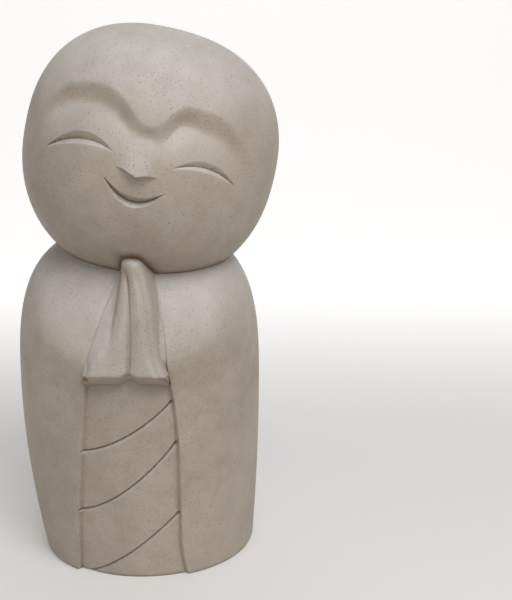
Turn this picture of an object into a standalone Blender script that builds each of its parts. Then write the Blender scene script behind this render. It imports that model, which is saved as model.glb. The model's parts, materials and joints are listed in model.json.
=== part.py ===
"""Stone jizo statue: a standing child-like figure with a large round head, praying.

The figure is one cast stone piece.  Its form is a head and a robed body, each a rounded solid
given by a function that is negative inside, with the face, the hands and the robe carved into
them.  A sphere is drawn onto that form, made finer where the carving needs it, thinned out
where it doesn't and cut flat underneath.  Metres, +Z up, the face towards -Y.
"""

import math

import bmesh
import bpy
import numpy as np
from mathutils import Vector

# Overall height of the statue, from the flat underside to the crown
STATUE_HEIGHT = 0.600

# Body: a barrel, widest a third of the way up, with rounded shoulders inside the head
BODY_HALF_WIDTH = 0.2300 * STATUE_HEIGHT
BODY_HALF_DEPTH = 0.1990 * STATUE_HEIGHT
BODY_WIDEST_LEVEL = 0.3333 * STATUE_HEIGHT
SHOULDER_TOP = 0.6340 * STATUE_HEIGHT
SHOULDER_SQUARENESS = 3.1
CHEST_LEAN = 0.0480 * STATUE_HEIGHT
CARVING_FADE_START = 0.0100 * STATUE_HEIGHT
CARVING_FADE_END = 0.1100 * STATUE_HEIGHT
BODY_PLAN_SQUARENESS = 2.05
BODY_SIDE_SHIFT = -0.0060 * STATUE_HEIGHT
FOOT_SIDE_SHIFT = 0.0085 * STATUE_HEIGHT
FOOT_BACK_SHIFT = 0.0225 * STATUE_HEIGHT
FOOT_TAPER = 0.0220 * STATUE_HEIGHT
FOOT_TAPER_BOW = 1.8
FOOT_EDGE_RADIUS = 0.0130 * STATUE_HEIGHT

# Head: a rounded box-like ball, tilted to one side and turned a little
HEAD_HALF_WIDTH = 0.2295 * STATUE_HEIGHT
HEAD_HALF_DEPTH = 0.2220 * STATUE_HEIGHT
HEAD_UPPER_HEIGHT = 0.2230 * STATUE_HEIGHT
HEAD_LOWER_HEIGHT = 0.2370 * STATUE_HEIGHT
HEAD_PLAN_SQUARENESS = 2.15
HEAD_UPPER_SQUARENESS = 2.38
HEAD_LOWER_SQUARENESS = 2.20
HEAD_SIDE_SHIFT = 0.0270 * STATUE_HEIGHT
HEAD_FORWARD_SHIFT = 0.0120 * STATUE_HEIGHT
HEAD_TILT = math.radians(13.5)
HEAD_TURN = math.radians(3.1)
NECK_FILLET = 0.0025 * STATUE_HEIGHT
FACE_FADE = 0.0780 * STATUE_HEIGHT

# Brow: the forehead stands over the eye sockets along two arches, with a rounded tip between
BROW_TIP_LEVEL = 0.0570 * STATUE_HEIGHT
BROW_TIP_OFFSET = 0.0030 * STATUE_HEIGHT
BROW_TIP_HALF_WIDTH = 0.0160 * STATUE_HEIGHT
BROW_TIP_ROUNDING = 0.0090 * STATUE_HEIGHT
BROW_LEFT_RISE = 0.0500 * STATUE_HEIGHT
BROW_RIGHT_RISE = 0.0455 * STATUE_HEIGHT
BROW_LEFT_PEAK = -0.0880 * STATUE_HEIGHT
BROW_RIGHT_PEAK = 0.0700 * STATUE_HEIGHT
BROW_OUTER_LENGTH = 0.0960 * STATUE_HEIGHT
BROW_LEFT_BOW = 2.0
BROW_RIGHT_BOW = 2.9
BROW_OUTER_BOW = 2.6
BROW_SLOPE_SPAN = 0.0160 * STATUE_HEIGHT
BROW_INNER_STEP_WIDTH = 0.0270 * STATUE_HEIGHT
BROW_OUTER_STEP_WIDTH = 0.0420 * STATUE_HEIGHT
SOCKET_INNER_DEPTH = 0.0270 * STATUE_HEIGHT
SOCKET_OUTER_DEPTH = 0.0150 * STATUE_HEIGHT
SOCKET_LENGTH_START = 0.0110 * STATUE_HEIGHT
SOCKET_LENGTH = 0.1150 * STATUE_HEIGHT
TEMPLE_START = 0.1520 * STATUE_HEIGHT
TEMPLE_END = 0.2090 * STATUE_HEIGHT

# Nose: a wedge that widens and rises towards its tip
NOSE_TOP = 0.0450 * STATUE_HEIGHT
NOSE_TIP = -0.0273 * STATUE_HEIGHT
NOSE_LEFT_WING_RISE = 0.0088 * STATUE_HEIGHT
NOSE_RIGHT_WING_RISE = 0.0064 * STATUE_HEIGHT
NOSE_TOP_HEIGHT = -0.0200 * STATUE_HEIGHT
NOSE_TIP_HEIGHT = 0.0135 * STATUE_HEIGHT
NOSE_TOP_HALF_WIDTH = 0.0200 * STATUE_HEIGHT
NOSE_TIP_HALF_WIDTH = 0.0205 * STATUE_HEIGHT
NOSE_OFFSET = -0.0038 * STATUE_HEIGHT
NOSE_SIDE_SLOPE = 1.35
NOSE_UNDER_SLOPE = 3.2
NOSE_EDGE_RADIUS = 0.0100 * STATUE_HEIGHT
NOSE_FILLET = 0.0150 * STATUE_HEIGHT

# Eyes: arched grooves, pointed at both ends
LEFT_EYE_INNER = (0.0464 * STATUE_HEIGHT, 0.0020 * STATUE_HEIGHT)
LEFT_EYE_OUTER = (0.1635 * STATUE_HEIGHT, -0.0197 * STATUE_HEIGHT)
RIGHT_EYE_INNER = (0.0505 * STATUE_HEIGHT, -0.0030 * STATUE_HEIGHT)
RIGHT_EYE_OUTER = (0.1586 * STATUE_HEIGHT, -0.0120 * STATUE_HEIGHT)
LEFT_EYE_UPPER_BOW = 0.0314 * STATUE_HEIGHT
LEFT_EYE_LOWER_BOW = 0.0108 * STATUE_HEIGHT
RIGHT_EYE_UPPER_BOW = 0.0268 * STATUE_HEIGHT
RIGHT_EYE_LOWER_BOW = 0.0104 * STATUE_HEIGHT
EYE_UPPER_WALL_SLOPE = 0.60
EYE_LOWER_WALL_SLOPE = 1.15

# Mouth: a smiling groove, bowed downwards
MOUTH_LEFT = (-0.0570 * STATUE_HEIGHT, -0.0365 * STATUE_HEIGHT)
MOUTH_RIGHT = (0.0495 * STATUE_HEIGHT, -0.0428 * STATUE_HEIGHT)
MOUTH_UPPER_BOW = -0.0210 * STATUE_HEIGHT
MOUTH_LOWER_BOW = -0.0395 * STATUE_HEIGHT
MOUTH_UPPER_WALL_SLOPE = 0.95
MOUTH_LOWER_WALL_SLOPE = 1.15

# Forearms: the sleeves swell forward over the hanging part of the robe
FOREARM_LEVEL = 0.4060 * STATUE_HEIGHT
FOREARM_RISE = 0.0190 * STATUE_HEIGHT
FOREARM_UPPER_FADE = 0.1400 * STATUE_HEIGHT
FOREARM_LOWER_FADE = 0.0600 * STATUE_HEIGHT
FOREARM_SIDE_LOWER_FADE = 0.1300 * STATUE_HEIGHT
FOREARM_SIDE_LIFT = 0.1100 * STATUE_HEIGHT
FOREARM_SIDE_LIFT_BOW = 1.6
FOREARM_SIDE_FADE = 0.60
FOREARM_PANEL_FADE = 0.0100 * STATUE_HEIGHT

# Hands: two palms pressed together, with a groove between them
HAND_TOP = 0.5985 * STATUE_HEIGHT
HAND_BOTTOM = 0.4020 * STATUE_HEIGHT
HAND_TOP_REACH = 0.1900 * STATUE_HEIGHT
HAND_BOTTOM_REACH = 0.2270 * STATUE_HEIGHT
HAND_EDGE_RADIUS = 0.0080 * STATUE_HEIGHT
HAND_TOP_RADIUS = 0.0110 * STATUE_HEIGHT
HAND_FILLET = 0.0025 * STATUE_HEIGHT
HAND_SIDE_FILLET = 0.0070 * STATUE_HEIGHT
HAND_SIDE_FILLET_FADE = (0.85, 1.0)
HAND_UNDERSIDE_SLOPE = 0.60
HAND_UNDERSIDE_RADIUS = 0.0050 * STATUE_HEIGHT
NOTCH_HEIGHT = 0.0085 * STATUE_HEIGHT
NOTCH_WIDTH = 0.0110 * STATUE_HEIGHT
PALM_LINE_OFFSET = 0.0070 * STATUE_HEIGHT
PALM_LINE_LEAN = 0.0100 * STATUE_HEIGHT
PALM_LINE_HEEL = 0.0035 * STATUE_HEIGHT
PALM_LINE_BOW = 3
PALM_HEEL_BOW = 6
PALM_SIDE_SLOPE_BOW = 3
PALM_HOLLOW_FADE = (0.05, 0.20)
PALM_GROOVE_DEPTH = 0.0034 * STATUE_HEIGHT
PALM_GROOVE_HALF_WIDTH = 0.0048 * STATUE_HEIGHT
PALM_VALLEY_DEPTH = 0.0052 * STATUE_HEIGHT
PALM_VALLEY_WIDTH = 0.0110 * STATUE_HEIGHT
RIGHT_PALM_ROUND_OVER = 0.0160 * STATUE_HEIGHT
RIGHT_PALM_SIDE_SLOPE = 2.5
RIGHT_PALM_SIDE_TOP_SLOPE = 5.0
RIGHT_PALM_SIDE_HEEL_SLOPE = 4.0
RIGHT_PALM_TOP_EDGE = 0.0205 * STATUE_HEIGHT
RIGHT_PALM_SPREAD = 0.0265 * STATUE_HEIGHT
RIGHT_PALM_HEEL = 0.0195 * STATUE_HEIGHT
RIGHT_PALM_BOW = 3
RIGHT_VALLEY_DEPTH = 0.0032 * STATUE_HEIGHT
RIGHT_VALLEY_WIDTH = 0.0065 * STATUE_HEIGHT
RIGHT_VALLEY_OFFSET = 0.0100 * STATUE_HEIGHT
LEFT_PALM_ROUND_OVER = 0.0120 * STATUE_HEIGHT
LEFT_PALM_SIDE_SLOPE = 2.5
LEFT_PALM_SIDE_TOP_SLOPE = 6.0
LEFT_PALM_TOP_EDGE = -0.0065 * STATUE_HEIGHT
LEFT_PALM_SPREAD = -0.0400 * STATUE_HEIGHT
LEFT_PALM_STEP = 0.0065 * STATUE_HEIGHT
LEFT_PALM_STEP_FADE = (0.5, 0.95)
LEFT_VALLEY_DEPTH = 0.0075 * STATUE_HEIGHT
LEFT_VALLEY_WIDTH = 0.0120 * STATUE_HEIGHT
LEFT_VALLEY_FADE = (0.5, 1.0)
LEFT_CUFF_LINE_DEPTH = 0.0036 * STATUE_HEIGHT
LEFT_CUFF_LINE_OUTER_WIDTH = 0.0100 * STATUE_HEIGHT
LEFT_CUFF_LINE_INNER_WIDTH = 0.0016 * STATUE_HEIGHT
LEFT_CUFF_SLOPE = 0.30
LEFT_CUFF_TOP_SLOPE = 1.0
LEFT_CUFF_SLOPE_BOW = 3
LEFT_CUFF_HEEL_SLOPE = 1.60
LEFT_CUFF_OVERLAP = 0.0050 * STATUE_HEIGHT

# Robe opening: a sunk panel between the sleeves, which runs up around the hands
PANEL_DEPTH = 0.0080 * STATUE_HEIGHT
PANEL_DEPTH_AT_HANDS = 0.0015 * STATUE_HEIGHT
PANEL_FADE = 0.15
PANEL_WALL_SLOPE = 1.1
LEFT_EDGE_FOOT = -0.1140 * STATUE_HEIGHT
LEFT_EDGE_WAIST = -0.0760 * STATUE_HEIGHT
LEFT_EDGE_NECK = -0.0080 * STATUE_HEIGHT
LEFT_EDGE_BOW = 1.3
LEFT_EDGE_NECK_BOW = 1.15
RIGHT_EDGE_WIDEST = 0.0870 * STATUE_HEIGHT
RIGHT_EDGE_WIDEST_LEVEL = 0.2200 * STATUE_HEIGHT
RIGHT_EDGE_WAIST = 0.0710 * STATUE_HEIGHT
RIGHT_EDGE_NECK = 0.0370 * STATUE_HEIGHT
RIGHT_EDGE_NECK_BOW = 1.5
RIGHT_EDGE_FLARE = 0.0100 * STATUE_HEIGHT
RIGHT_EDGE_FLARE_LEVEL = 0.0850 * STATUE_HEIGHT

# Each fold: its level at the panel's left edge, its rise to the right edge, and its bow
FOLDS = (
    (0.2495 * STATUE_HEIGHT, 0.1010 * STATUE_HEIGHT, 1.57),
    (0.1305 * STATUE_HEIGHT, 0.1450 * STATUE_HEIGHT, 1.56),
    (-0.0065 * STATUE_HEIGHT, 0.1410 * STATUE_HEIGHT, 1.40),
)
FOLD_LINE_DEPTH = 0.0042 * STATUE_HEIGHT
FOLD_LINE_WIDTH = 0.0040 * STATUE_HEIGHT
FOLD_VALLEY_DEPTH = 0.0022 * STATUE_HEIGHT
FOLD_VALLEY_WIDTH = 0.0200 * STATUE_HEIGHT

# How closely the faceted solid follows the form
START_SEGMENTS = 96
START_RINGS = 128
SPINE_FOOT = 0.2000 * STATUE_HEIGHT
FAN_START = 0.62
FARTHEST = 0.4000 * STATUE_HEIGHT
SEARCH_STEPS = 28
HALVINGS = 20
EDGE_SHARES = (0.25, 0.50, 0.75)
SURFACE_TOLERANCE = 0.00006 * STATUE_HEIGHT
SHORTEST_EDGE = 0.0009 * STATUE_HEIGHT
REFINING_PASSES = 7
TRIANGLE_TARGET = 9700
CUT_MARGIN = 0.0040 * STATUE_HEIGHT

# Edges sharper than this stay crisp in the shading
SHARP_ANGLE = math.radians(24.0)

# Cast stone: colour, roughness and metallic value
STONE_COLOUR = (0.360, 0.318, 0.270, 1.0)
STONE_ROUGHNESS = 0.62
STONE_METALLIC = 0.0


def smooth_ramp(low, high, value):
    """Rises from 0 at low to 1 at high, level at both ends."""
    share = np.clip((value - low) / (high - low), 0.0, 1.0)
    return share * share * (3.0 - 2.0 * share)


def joined(first, second, fillet):
    """The union of two forms, with a fillet where they meet."""
    share = np.clip(0.5 + 0.5 * (second - first) / fillet, 0.0, 1.0)
    return second + (first - second) * share - fillet * share * (1.0 - share)


def trimmed(first, second, round_over):
    """What two forms have in common, with the edge between them rounded over."""
    return -joined(-first, -second, round_over)


def head_axes():
    """The head's own right, back and up directions, as the columns of a matrix."""
    tilt_cos, tilt_sin = math.cos(HEAD_TILT), math.sin(HEAD_TILT)
    turn_cos, turn_sin = math.cos(HEAD_TURN), math.sin(HEAD_TURN)
    tilt = np.array([[tilt_cos, 0.0, tilt_sin], [0.0, 1.0, 0.0], [-tilt_sin, 0.0, tilt_cos]])
    turn = np.array([[turn_cos, -turn_sin, 0.0], [turn_sin, turn_cos, 0.0], [0.0, 0.0, 1.0]])
    return tilt @ turn


def head_rise(axes):
    """Height of the tilted head's highest point over its centre."""
    half_sizes = (HEAD_HALF_WIDTH, HEAD_HALF_DEPTH, HEAD_UPPER_HEIGHT)
    across, along, up = (abs(axes[2, i]) * half_sizes[i] for i in range(3))
    plan_power = HEAD_PLAN_SQUARENESS / (HEAD_PLAN_SQUARENESS - 1.0)
    power = HEAD_UPPER_SQUARENESS / (HEAD_UPPER_SQUARENESS - 1.0)
    plan = (across ** plan_power + along ** plan_power) ** (1.0 / plan_power)
    return (plan ** power + up ** power) ** (1.0 / power)


HEAD_AXES = head_axes()
HEAD_CENTRE = np.array([
    HEAD_SIDE_SHIFT,
    -HEAD_FORWARD_SHIFT,
    STATUE_HEIGHT - head_rise(HEAD_AXES),
])


def crescent(across, up, inner, outer, upper_bow, lower_bow, upper_slope, lower_slope):
    """Depth of a V-shaped groove between two arcs that meet at its inner and outer corners."""
    share = (across - inner[0]) / (outer[0] - inner[0])
    chord = inner[1] + (outer[1] - inner[1]) * share
    arc = 1.0 - np.clip(2.0 * share - 1.0, -1.0, 1.0) ** 2
    from_upper = (chord + upper_bow * arc - up) * upper_slope
    from_lower = (up - chord - lower_bow * arc) * lower_slope
    within = (share > 0.0) & (share < 1.0)
    return np.where(within, np.clip(np.minimum(from_upper, from_lower), 0.0, None), 0.0)


def brow_line(across):
    """Level of the forehead's lower edge, at a distance to either side of the face's middle."""
    left = across < BROW_TIP_OFFSET
    peak = np.where(left, BROW_LEFT_PEAK, BROW_RIGHT_PEAK)
    rise = np.where(left, BROW_LEFT_RISE, BROW_RIGHT_RISE)
    bow = np.where(left, BROW_LEFT_BOW, BROW_RIGHT_BOW)
    to_peak = np.abs(peak - BROW_TIP_OFFSET) - BROW_TIP_HALF_WIDTH
    from_tip = np.abs(across - BROW_TIP_OFFSET) - BROW_TIP_HALF_WIDTH
    at_tip = math.hypot(BROW_TIP_HALF_WIDTH, BROW_TIP_ROUNDING) - BROW_TIP_HALF_WIDTH
    from_tip = 0.5 * (from_tip + np.hypot(from_tip, BROW_TIP_ROUNDING) - at_tip)
    inner = 1.0 - np.clip(from_tip / to_peak, 0.0, 1.0)
    outer = np.clip(from_tip - to_peak, 0.0, None) / BROW_OUTER_LENGTH
    return BROW_TIP_LEVEL + rise * (1.0 - inner ** bow - outer ** BROW_OUTER_BOW)


def socket_depth(across, up):
    """Depth of the eye socket below the plain head: a soft step at the brow that fades out."""
    ahead, behind = across + 0.5 * BROW_SLOPE_SPAN, across - 0.5 * BROW_SLOPE_SPAN
    slope = (brow_line(ahead) - brow_line(behind)) / BROW_SLOPE_SPAN
    below = (brow_line(across) - up) / np.hypot(1.0, slope)
    side = np.abs(across - BROW_TIP_OFFSET)
    outward = smooth_ramp(0.0, BROW_OUTER_LENGTH, side)
    step_width = BROW_INNER_STEP_WIDTH + (BROW_OUTER_STEP_WIDTH - BROW_INNER_STEP_WIDTH) * outward
    step = smooth_ramp(0.0, step_width, below)
    below_peak = BROW_TIP_LEVEL + BROW_LEFT_RISE - up
    fade = 1.0 - smooth_ramp(SOCKET_LENGTH_START, SOCKET_LENGTH, below_peak)
    temple = 1.0 - smooth_ramp(TEMPLE_START, TEMPLE_END, side)
    depth = SOCKET_INNER_DEPTH + (SOCKET_OUTER_DEPTH - SOCKET_INNER_DEPTH) * outward
    return depth * step * fade * temple


def nose_height(across, up):
    """Height of the nose over the plain head, far below it outside the nose."""
    side = np.abs(across - NOSE_OFFSET)
    wing_rise = np.where(across < NOSE_OFFSET, NOSE_LEFT_WING_RISE, NOSE_RIGHT_WING_RISE)
    share = (NOSE_TOP - up) / (NOSE_TOP - NOSE_TIP)
    ridge = NOSE_TOP_HEIGHT + (NOSE_TIP_HEIGHT - NOSE_TOP_HEIGHT) * share
    half_width = NOSE_TOP_HALF_WIDTH + (NOSE_TIP_HALF_WIDTH - NOSE_TOP_HALF_WIDTH) * share
    flank = ridge + (half_width - side) * NOSE_SIDE_SLOPE
    lower_edge = NOSE_TIP + wing_rise * side / NOSE_TIP_HALF_WIDTH
    underside = ridge + (up - lower_edge) * NOSE_UNDER_SLOPE
    return np.minimum(joined(ridge, flank, NOSE_EDGE_RADIUS), underside)


def face_relief(across, up):
    """Height of the carved face over the plain head, in the head's own directions."""
    ground = -socket_depth(across, up)
    relief = trimmed(ground, nose_height(across, up), NOSE_FILLET)
    left_eye = crescent(-across, up, LEFT_EYE_INNER, LEFT_EYE_OUTER, LEFT_EYE_UPPER_BOW,
                        LEFT_EYE_LOWER_BOW, EYE_UPPER_WALL_SLOPE, EYE_LOWER_WALL_SLOPE)
    right_eye = crescent(across, up, RIGHT_EYE_INNER, RIGHT_EYE_OUTER, RIGHT_EYE_UPPER_BOW,
                         RIGHT_EYE_LOWER_BOW, EYE_UPPER_WALL_SLOPE, EYE_LOWER_WALL_SLOPE)
    mouth = crescent(across, up, MOUTH_LEFT, MOUTH_RIGHT, MOUTH_UPPER_BOW, MOUTH_LOWER_BOW,
                     MOUTH_UPPER_WALL_SLOPE, MOUTH_LOWER_WALL_SLOPE)
    return relief - left_eye - right_eye - mouth


def head_form(points):
    """Signed distance-like value of the carved head."""
    local = (points - HEAD_CENTRE) @ HEAD_AXES
    across, back, up = local[..., 0], local[..., 1], local[..., 2]
    plan = (np.abs(across / HEAD_HALF_WIDTH) ** HEAD_PLAN_SQUARENESS
            + np.abs(back / HEAD_HALF_DEPTH) ** HEAD_PLAN_SQUARENESS)
    squareness = np.where(up > 0.0, HEAD_UPPER_SQUARENESS, HEAD_LOWER_SQUARENESS)
    half_height = np.where(up > 0.0, HEAD_UPPER_HEIGHT, HEAD_LOWER_HEIGHT)
    plan = plan ** (squareness / HEAD_PLAN_SQUARENESS)
    size = (plan + np.abs(up / half_height) ** squareness) ** (1.0 / squareness)
    distance = np.linalg.norm(local, axis=-1) * (1.0 - 1.0 / np.maximum(size, 1e-6))
    front = smooth_ramp(0.0, FACE_FADE, -back)
    return distance - front * face_relief(across, up)


def up_the_hands(level):
    """0 at the heel of the hands and below, 1 at their fingertips."""
    return np.clip((level - HAND_BOTTOM) / (HAND_TOP - HAND_BOTTOM), 0.0, 1.0)


def left_edge(level):
    """Where the left sleeve's edge runs, from the foot up to the neck."""
    share = np.clip(level / HAND_BOTTOM, 0.0, 1.0)
    below = LEFT_EDGE_FOOT + (LEFT_EDGE_WAIST - LEFT_EDGE_FOOT) * share ** LEFT_EDGE_BOW
    above = (LEFT_EDGE_NECK - LEFT_EDGE_WAIST) * up_the_hands(level) ** LEFT_EDGE_NECK_BOW
    return below + above


def right_edge(level):
    """Where the right sleeve's edge runs, from the foot up to the neck."""
    share = (level - RIGHT_EDGE_WIDEST_LEVEL) / (HAND_BOTTOM - RIGHT_EDGE_WIDEST_LEVEL)
    below = (RIGHT_EDGE_WAIST - RIGHT_EDGE_WIDEST) * np.clip(share, 0.0, 1.0) ** 2
    above = (RIGHT_EDGE_NECK - RIGHT_EDGE_WAIST) * up_the_hands(level) ** RIGHT_EDGE_NECK_BOW
    flare = RIGHT_EDGE_FLARE * np.clip(1.0 - level / RIGHT_EDGE_FLARE_LEVEL, 0.0, 1.0) ** 2
    return RIGHT_EDGE_WIDEST + below + above + flare


def fold_depth(across, level):
    """Depth of the drawn folds: a sharp line in a shallow valley for each."""
    left, right = left_edge(level), right_edge(level)
    share = np.clip((across - left) / (right - left), 0.0, 1.0)
    depth = np.zeros_like(across)
    for start, rise, bow in FOLDS:
        slope = rise * bow * share ** (bow - 1.0) / (right - left)
        off_line = np.abs(level - start - rise * share ** bow) / np.hypot(1.0, slope)
        line = FOLD_LINE_DEPTH * np.clip(1.0 - off_line / FOLD_LINE_WIDTH, 0.0, None)
        valley = FOLD_VALLEY_DEPTH * np.exp(-(off_line / FOLD_VALLEY_WIDTH) ** 2)
        depth = depth + line + valley
    return depth


def robe_relief(across, level):
    """Height of the robe's carving over the plain body."""
    inside = np.minimum(across - left_edge(level), right_edge(level) - across)
    beside_hands = smooth_ramp(0.0, PANEL_FADE, up_the_hands(level))
    full_depth = PANEL_DEPTH + (PANEL_DEPTH_AT_HANDS - PANEL_DEPTH) * beside_hands
    panel = np.clip(inside * PANEL_WALL_SLOPE, 0.0, full_depth)
    folds = fold_depth(across, level) * panel / full_depth
    outward = np.abs(across / BODY_HALF_WIDTH) ** FOREARM_SIDE_LIFT_BOW
    forearm_level = FOREARM_LEVEL + FOREARM_SIDE_LIFT * outward
    lower_fade = FOREARM_LOWER_FADE + (FOREARM_SIDE_LOWER_FADE - FOREARM_LOWER_FADE) * outward
    rise = smooth_ramp(forearm_level - lower_fade, forearm_level, level)
    fall = 1.0 - smooth_ramp(forearm_level, forearm_level + FOREARM_UPPER_FADE, level)
    side = 1.0 - smooth_ramp(FOREARM_SIDE_FADE, 1.0, np.abs(across) / BODY_HALF_WIDTH)
    below_hands = 1.0 - smooth_ramp(HAND_BOTTOM - FOREARM_PANEL_FADE, HAND_BOTTOM, level)
    beside_panel = 1.0 - below_hands * panel / full_depth
    inward = across - left_edge(level)
    line = smooth_ramp(-LEFT_CUFF_LINE_OUTER_WIDTH, 0.0, inward)
    line = np.minimum(line, 1.0 - inward / LEFT_CUFF_LINE_INNER_WIDTH)
    line = LEFT_CUFF_LINE_DEPTH * beside_hands * np.clip(line, 0.0, None)
    return FOREARM_RISE * rise * fall * side * beside_panel - panel - folds - line


def body_form(points):
    """Signed distance-like value of the robed body, without the hands."""
    level = points[..., 2]
    above = np.clip(level - BODY_WIDEST_LEVEL, 0.0, None)
    below = np.clip((BODY_WIDEST_LEVEL - level) / BODY_WIDEST_LEVEL, 0.0, None) ** FOOT_TAPER_BOW
    across = points[..., 0] - BODY_SIDE_SHIFT - FOOT_SIDE_SHIFT * below
    along = points[..., 1] - FOOT_BACK_SHIFT * below
    half_width = BODY_HALF_WIDTH - FOOT_TAPER * below
    up_the_shoulders = np.clip(above / (SHOULDER_TOP - BODY_WIDEST_LEVEL), 0.0, 1.0)
    chest = BODY_HALF_DEPTH - CHEST_LEAN * up_the_shoulders ** 2
    back = BODY_HALF_DEPTH - FOOT_BACK_SHIFT * below
    half_depth = np.where(along < 0.0, chest, back)
    plan = (np.abs(across / half_width) ** BODY_PLAN_SQUARENESS
            + np.abs(along / half_depth) ** BODY_PLAN_SQUARENESS)
    plan = plan ** (SHOULDER_SQUARENESS / BODY_PLAN_SQUARENESS)
    dome = (above / (SHOULDER_TOP - BODY_WIDEST_LEVEL)) ** SHOULDER_SQUARENESS
    size = (plan + dome) ** (1.0 / SHOULDER_SQUARENESS)
    reach = np.sqrt(across ** 2 + along ** 2 + above ** 2)
    distance = reach * (1.0 - 1.0 / np.maximum(size, 1e-6))
    front = smooth_ramp(CARVING_FADE_START, CARVING_FADE_END, -along)
    return distance - front * robe_relief(points[..., 0], level)


def palms_form(points):
    """Signed distance-like value of the two palms, open at the back and below."""
    across, level = points[..., 0], points[..., 2]
    down = 1.0 - up_the_hands(level)
    front = palms_front(points, down)
    steeper = (1.0 - down) ** PALM_SIDE_SLOPE_BOW
    right_slope = RIGHT_PALM_SIDE_SLOPE + RIGHT_PALM_SIDE_TOP_SLOPE * steeper
    right_slope = right_slope + RIGHT_PALM_SIDE_HEEL_SLOPE * down ** PALM_HEEL_BOW
    left_slope = LEFT_PALM_SIDE_SLOPE + LEFT_PALM_SIDE_TOP_SLOPE * steeper
    right_side = front + (across - right_palm_edge(down)) * right_slope
    left_side = front + (left_palm_edge(down) - across) * left_slope
    palms = front + palm_hollows(across, down)
    palms = trimmed(palms, right_side / np.hypot(1.0, right_slope), RIGHT_PALM_ROUND_OVER)
    return trimmed(palms, left_side / np.hypot(1.0, left_slope), LEFT_PALM_ROUND_OVER)


def palms_front(points, down):
    """How far a point lies in front of the plane that the palms' fronts share."""
    reach = HAND_TOP_REACH + (HAND_BOTTOM_REACH - HAND_TOP_REACH) * down
    return -points[..., 1] - reach


def palm_line(down):
    """Where the groove between the palms runs."""
    lean = PALM_LINE_LEAN * (1.0 - down) ** PALM_LINE_BOW
    return PALM_LINE_OFFSET - lean - PALM_LINE_HEEL * down ** PALM_HEEL_BOW


def left_palm_edge(down):
    """Where the left palm's outer edge runs."""
    return LEFT_PALM_TOP_EDGE + LEFT_PALM_SPREAD * down ** 2


def right_palm_edge(down):
    """Where the right palm's outer edge runs."""
    spread = RIGHT_PALM_SPREAD * (1.0 - (1.0 - down) ** RIGHT_PALM_BOW)
    return RIGHT_PALM_TOP_EDGE + spread + RIGHT_PALM_HEEL * down ** PALM_HEEL_BOW


def palm_hollows(across, down):
    """Depth of the groove between the palms and of the valley along each one's outer edge."""
    off_line = np.abs(across - palm_line(down))
    groove = PALM_GROOVE_DEPTH * np.clip(1.0 - off_line / PALM_GROOVE_HALF_WIDTH, 0.0, None)
    groove = groove + PALM_VALLEY_DEPTH * np.exp(-(off_line / PALM_VALLEY_WIDTH) ** 2)
    off_left = across - left_palm_edge(down)
    left_valley = LEFT_VALLEY_DEPTH * np.exp(-(off_left / LEFT_VALLEY_WIDTH) ** 2)
    left_valley = left_valley * (1.0 - smooth_ramp(*LEFT_VALLEY_FADE, down))
    off_right = across - right_palm_edge(down) + RIGHT_VALLEY_OFFSET
    right_valley = RIGHT_VALLEY_DEPTH * np.exp(-(off_right / RIGHT_VALLEY_WIDTH) ** 2)
    return (groove + right_valley) * smooth_ramp(*PALM_HOLLOW_FADE, down) + left_valley


def cuff_form(points, robe):
    """Signed distance-like value of the left cuff, which rises from the robe to the palms."""
    across, level = points[..., 0], points[..., 2]
    down = 1.0 - up_the_hands(level)
    heel = down ** PALM_HEEL_BOW
    inward = across - left_edge(level) + LEFT_CUFF_OVERLAP * heel
    slope = LEFT_CUFF_SLOPE + LEFT_CUFF_TOP_SLOPE * (1.0 - down) ** LEFT_CUFF_SLOPE_BOW
    slope = slope + LEFT_CUFF_HEEL_SLOPE * heel
    side = (robe - inward * slope) / np.hypot(1.0, slope)
    step = LEFT_PALM_STEP * (1.0 - smooth_ramp(*LEFT_PALM_STEP_FADE, down))
    front = palms_front(points, down) + step
    cuff = trimmed(front + palm_hollows(across, down), side, HAND_EDGE_RADIUS)
    return trimmed(cuff, across - palm_line(down), HAND_EDGE_RADIUS)


def hands_form(points, robe):
    """Signed distance-like value of the pressed palms and the left cuff beside them."""
    across, level = points[..., 0], points[..., 2]
    down = 1.0 - up_the_hands(level)
    hands = joined(palms_form(points), cuff_form(points, robe), HAND_FILLET)
    notch = NOTCH_HEIGHT * np.exp(-((across - palm_line(1.0)) / NOTCH_WIDTH) ** 2)
    underside = HAND_BOTTOM + notch + palms_front(points, down) * HAND_UNDERSIDE_SLOPE - level
    underside = underside / math.hypot(1.0, HAND_UNDERSIDE_SLOPE)
    hands = trimmed(hands, underside, HAND_UNDERSIDE_RADIUS)
    hands = trimmed(hands, level - HAND_TOP, HAND_TOP_RADIUS)
    return np.maximum(hands, points[..., 1])


def statue_form(points):
    """Signed distance-like value of the whole statue, with its underside below the cut."""
    robe = body_form(points)
    low = smooth_ramp(*HAND_SIDE_FILLET_FADE, 1.0 - up_the_hands(points[..., 2]))
    fillet = HAND_SIDE_FILLET + (HAND_FILLET - HAND_SIDE_FILLET) * low
    body = joined(robe, hands_form(points, robe), fillet)
    body = trimmed(body, -CUT_MARGIN - points[..., 2], FOOT_EDGE_RADIUS)
    return joined(head_form(points), body, NECK_FILLET)


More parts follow.
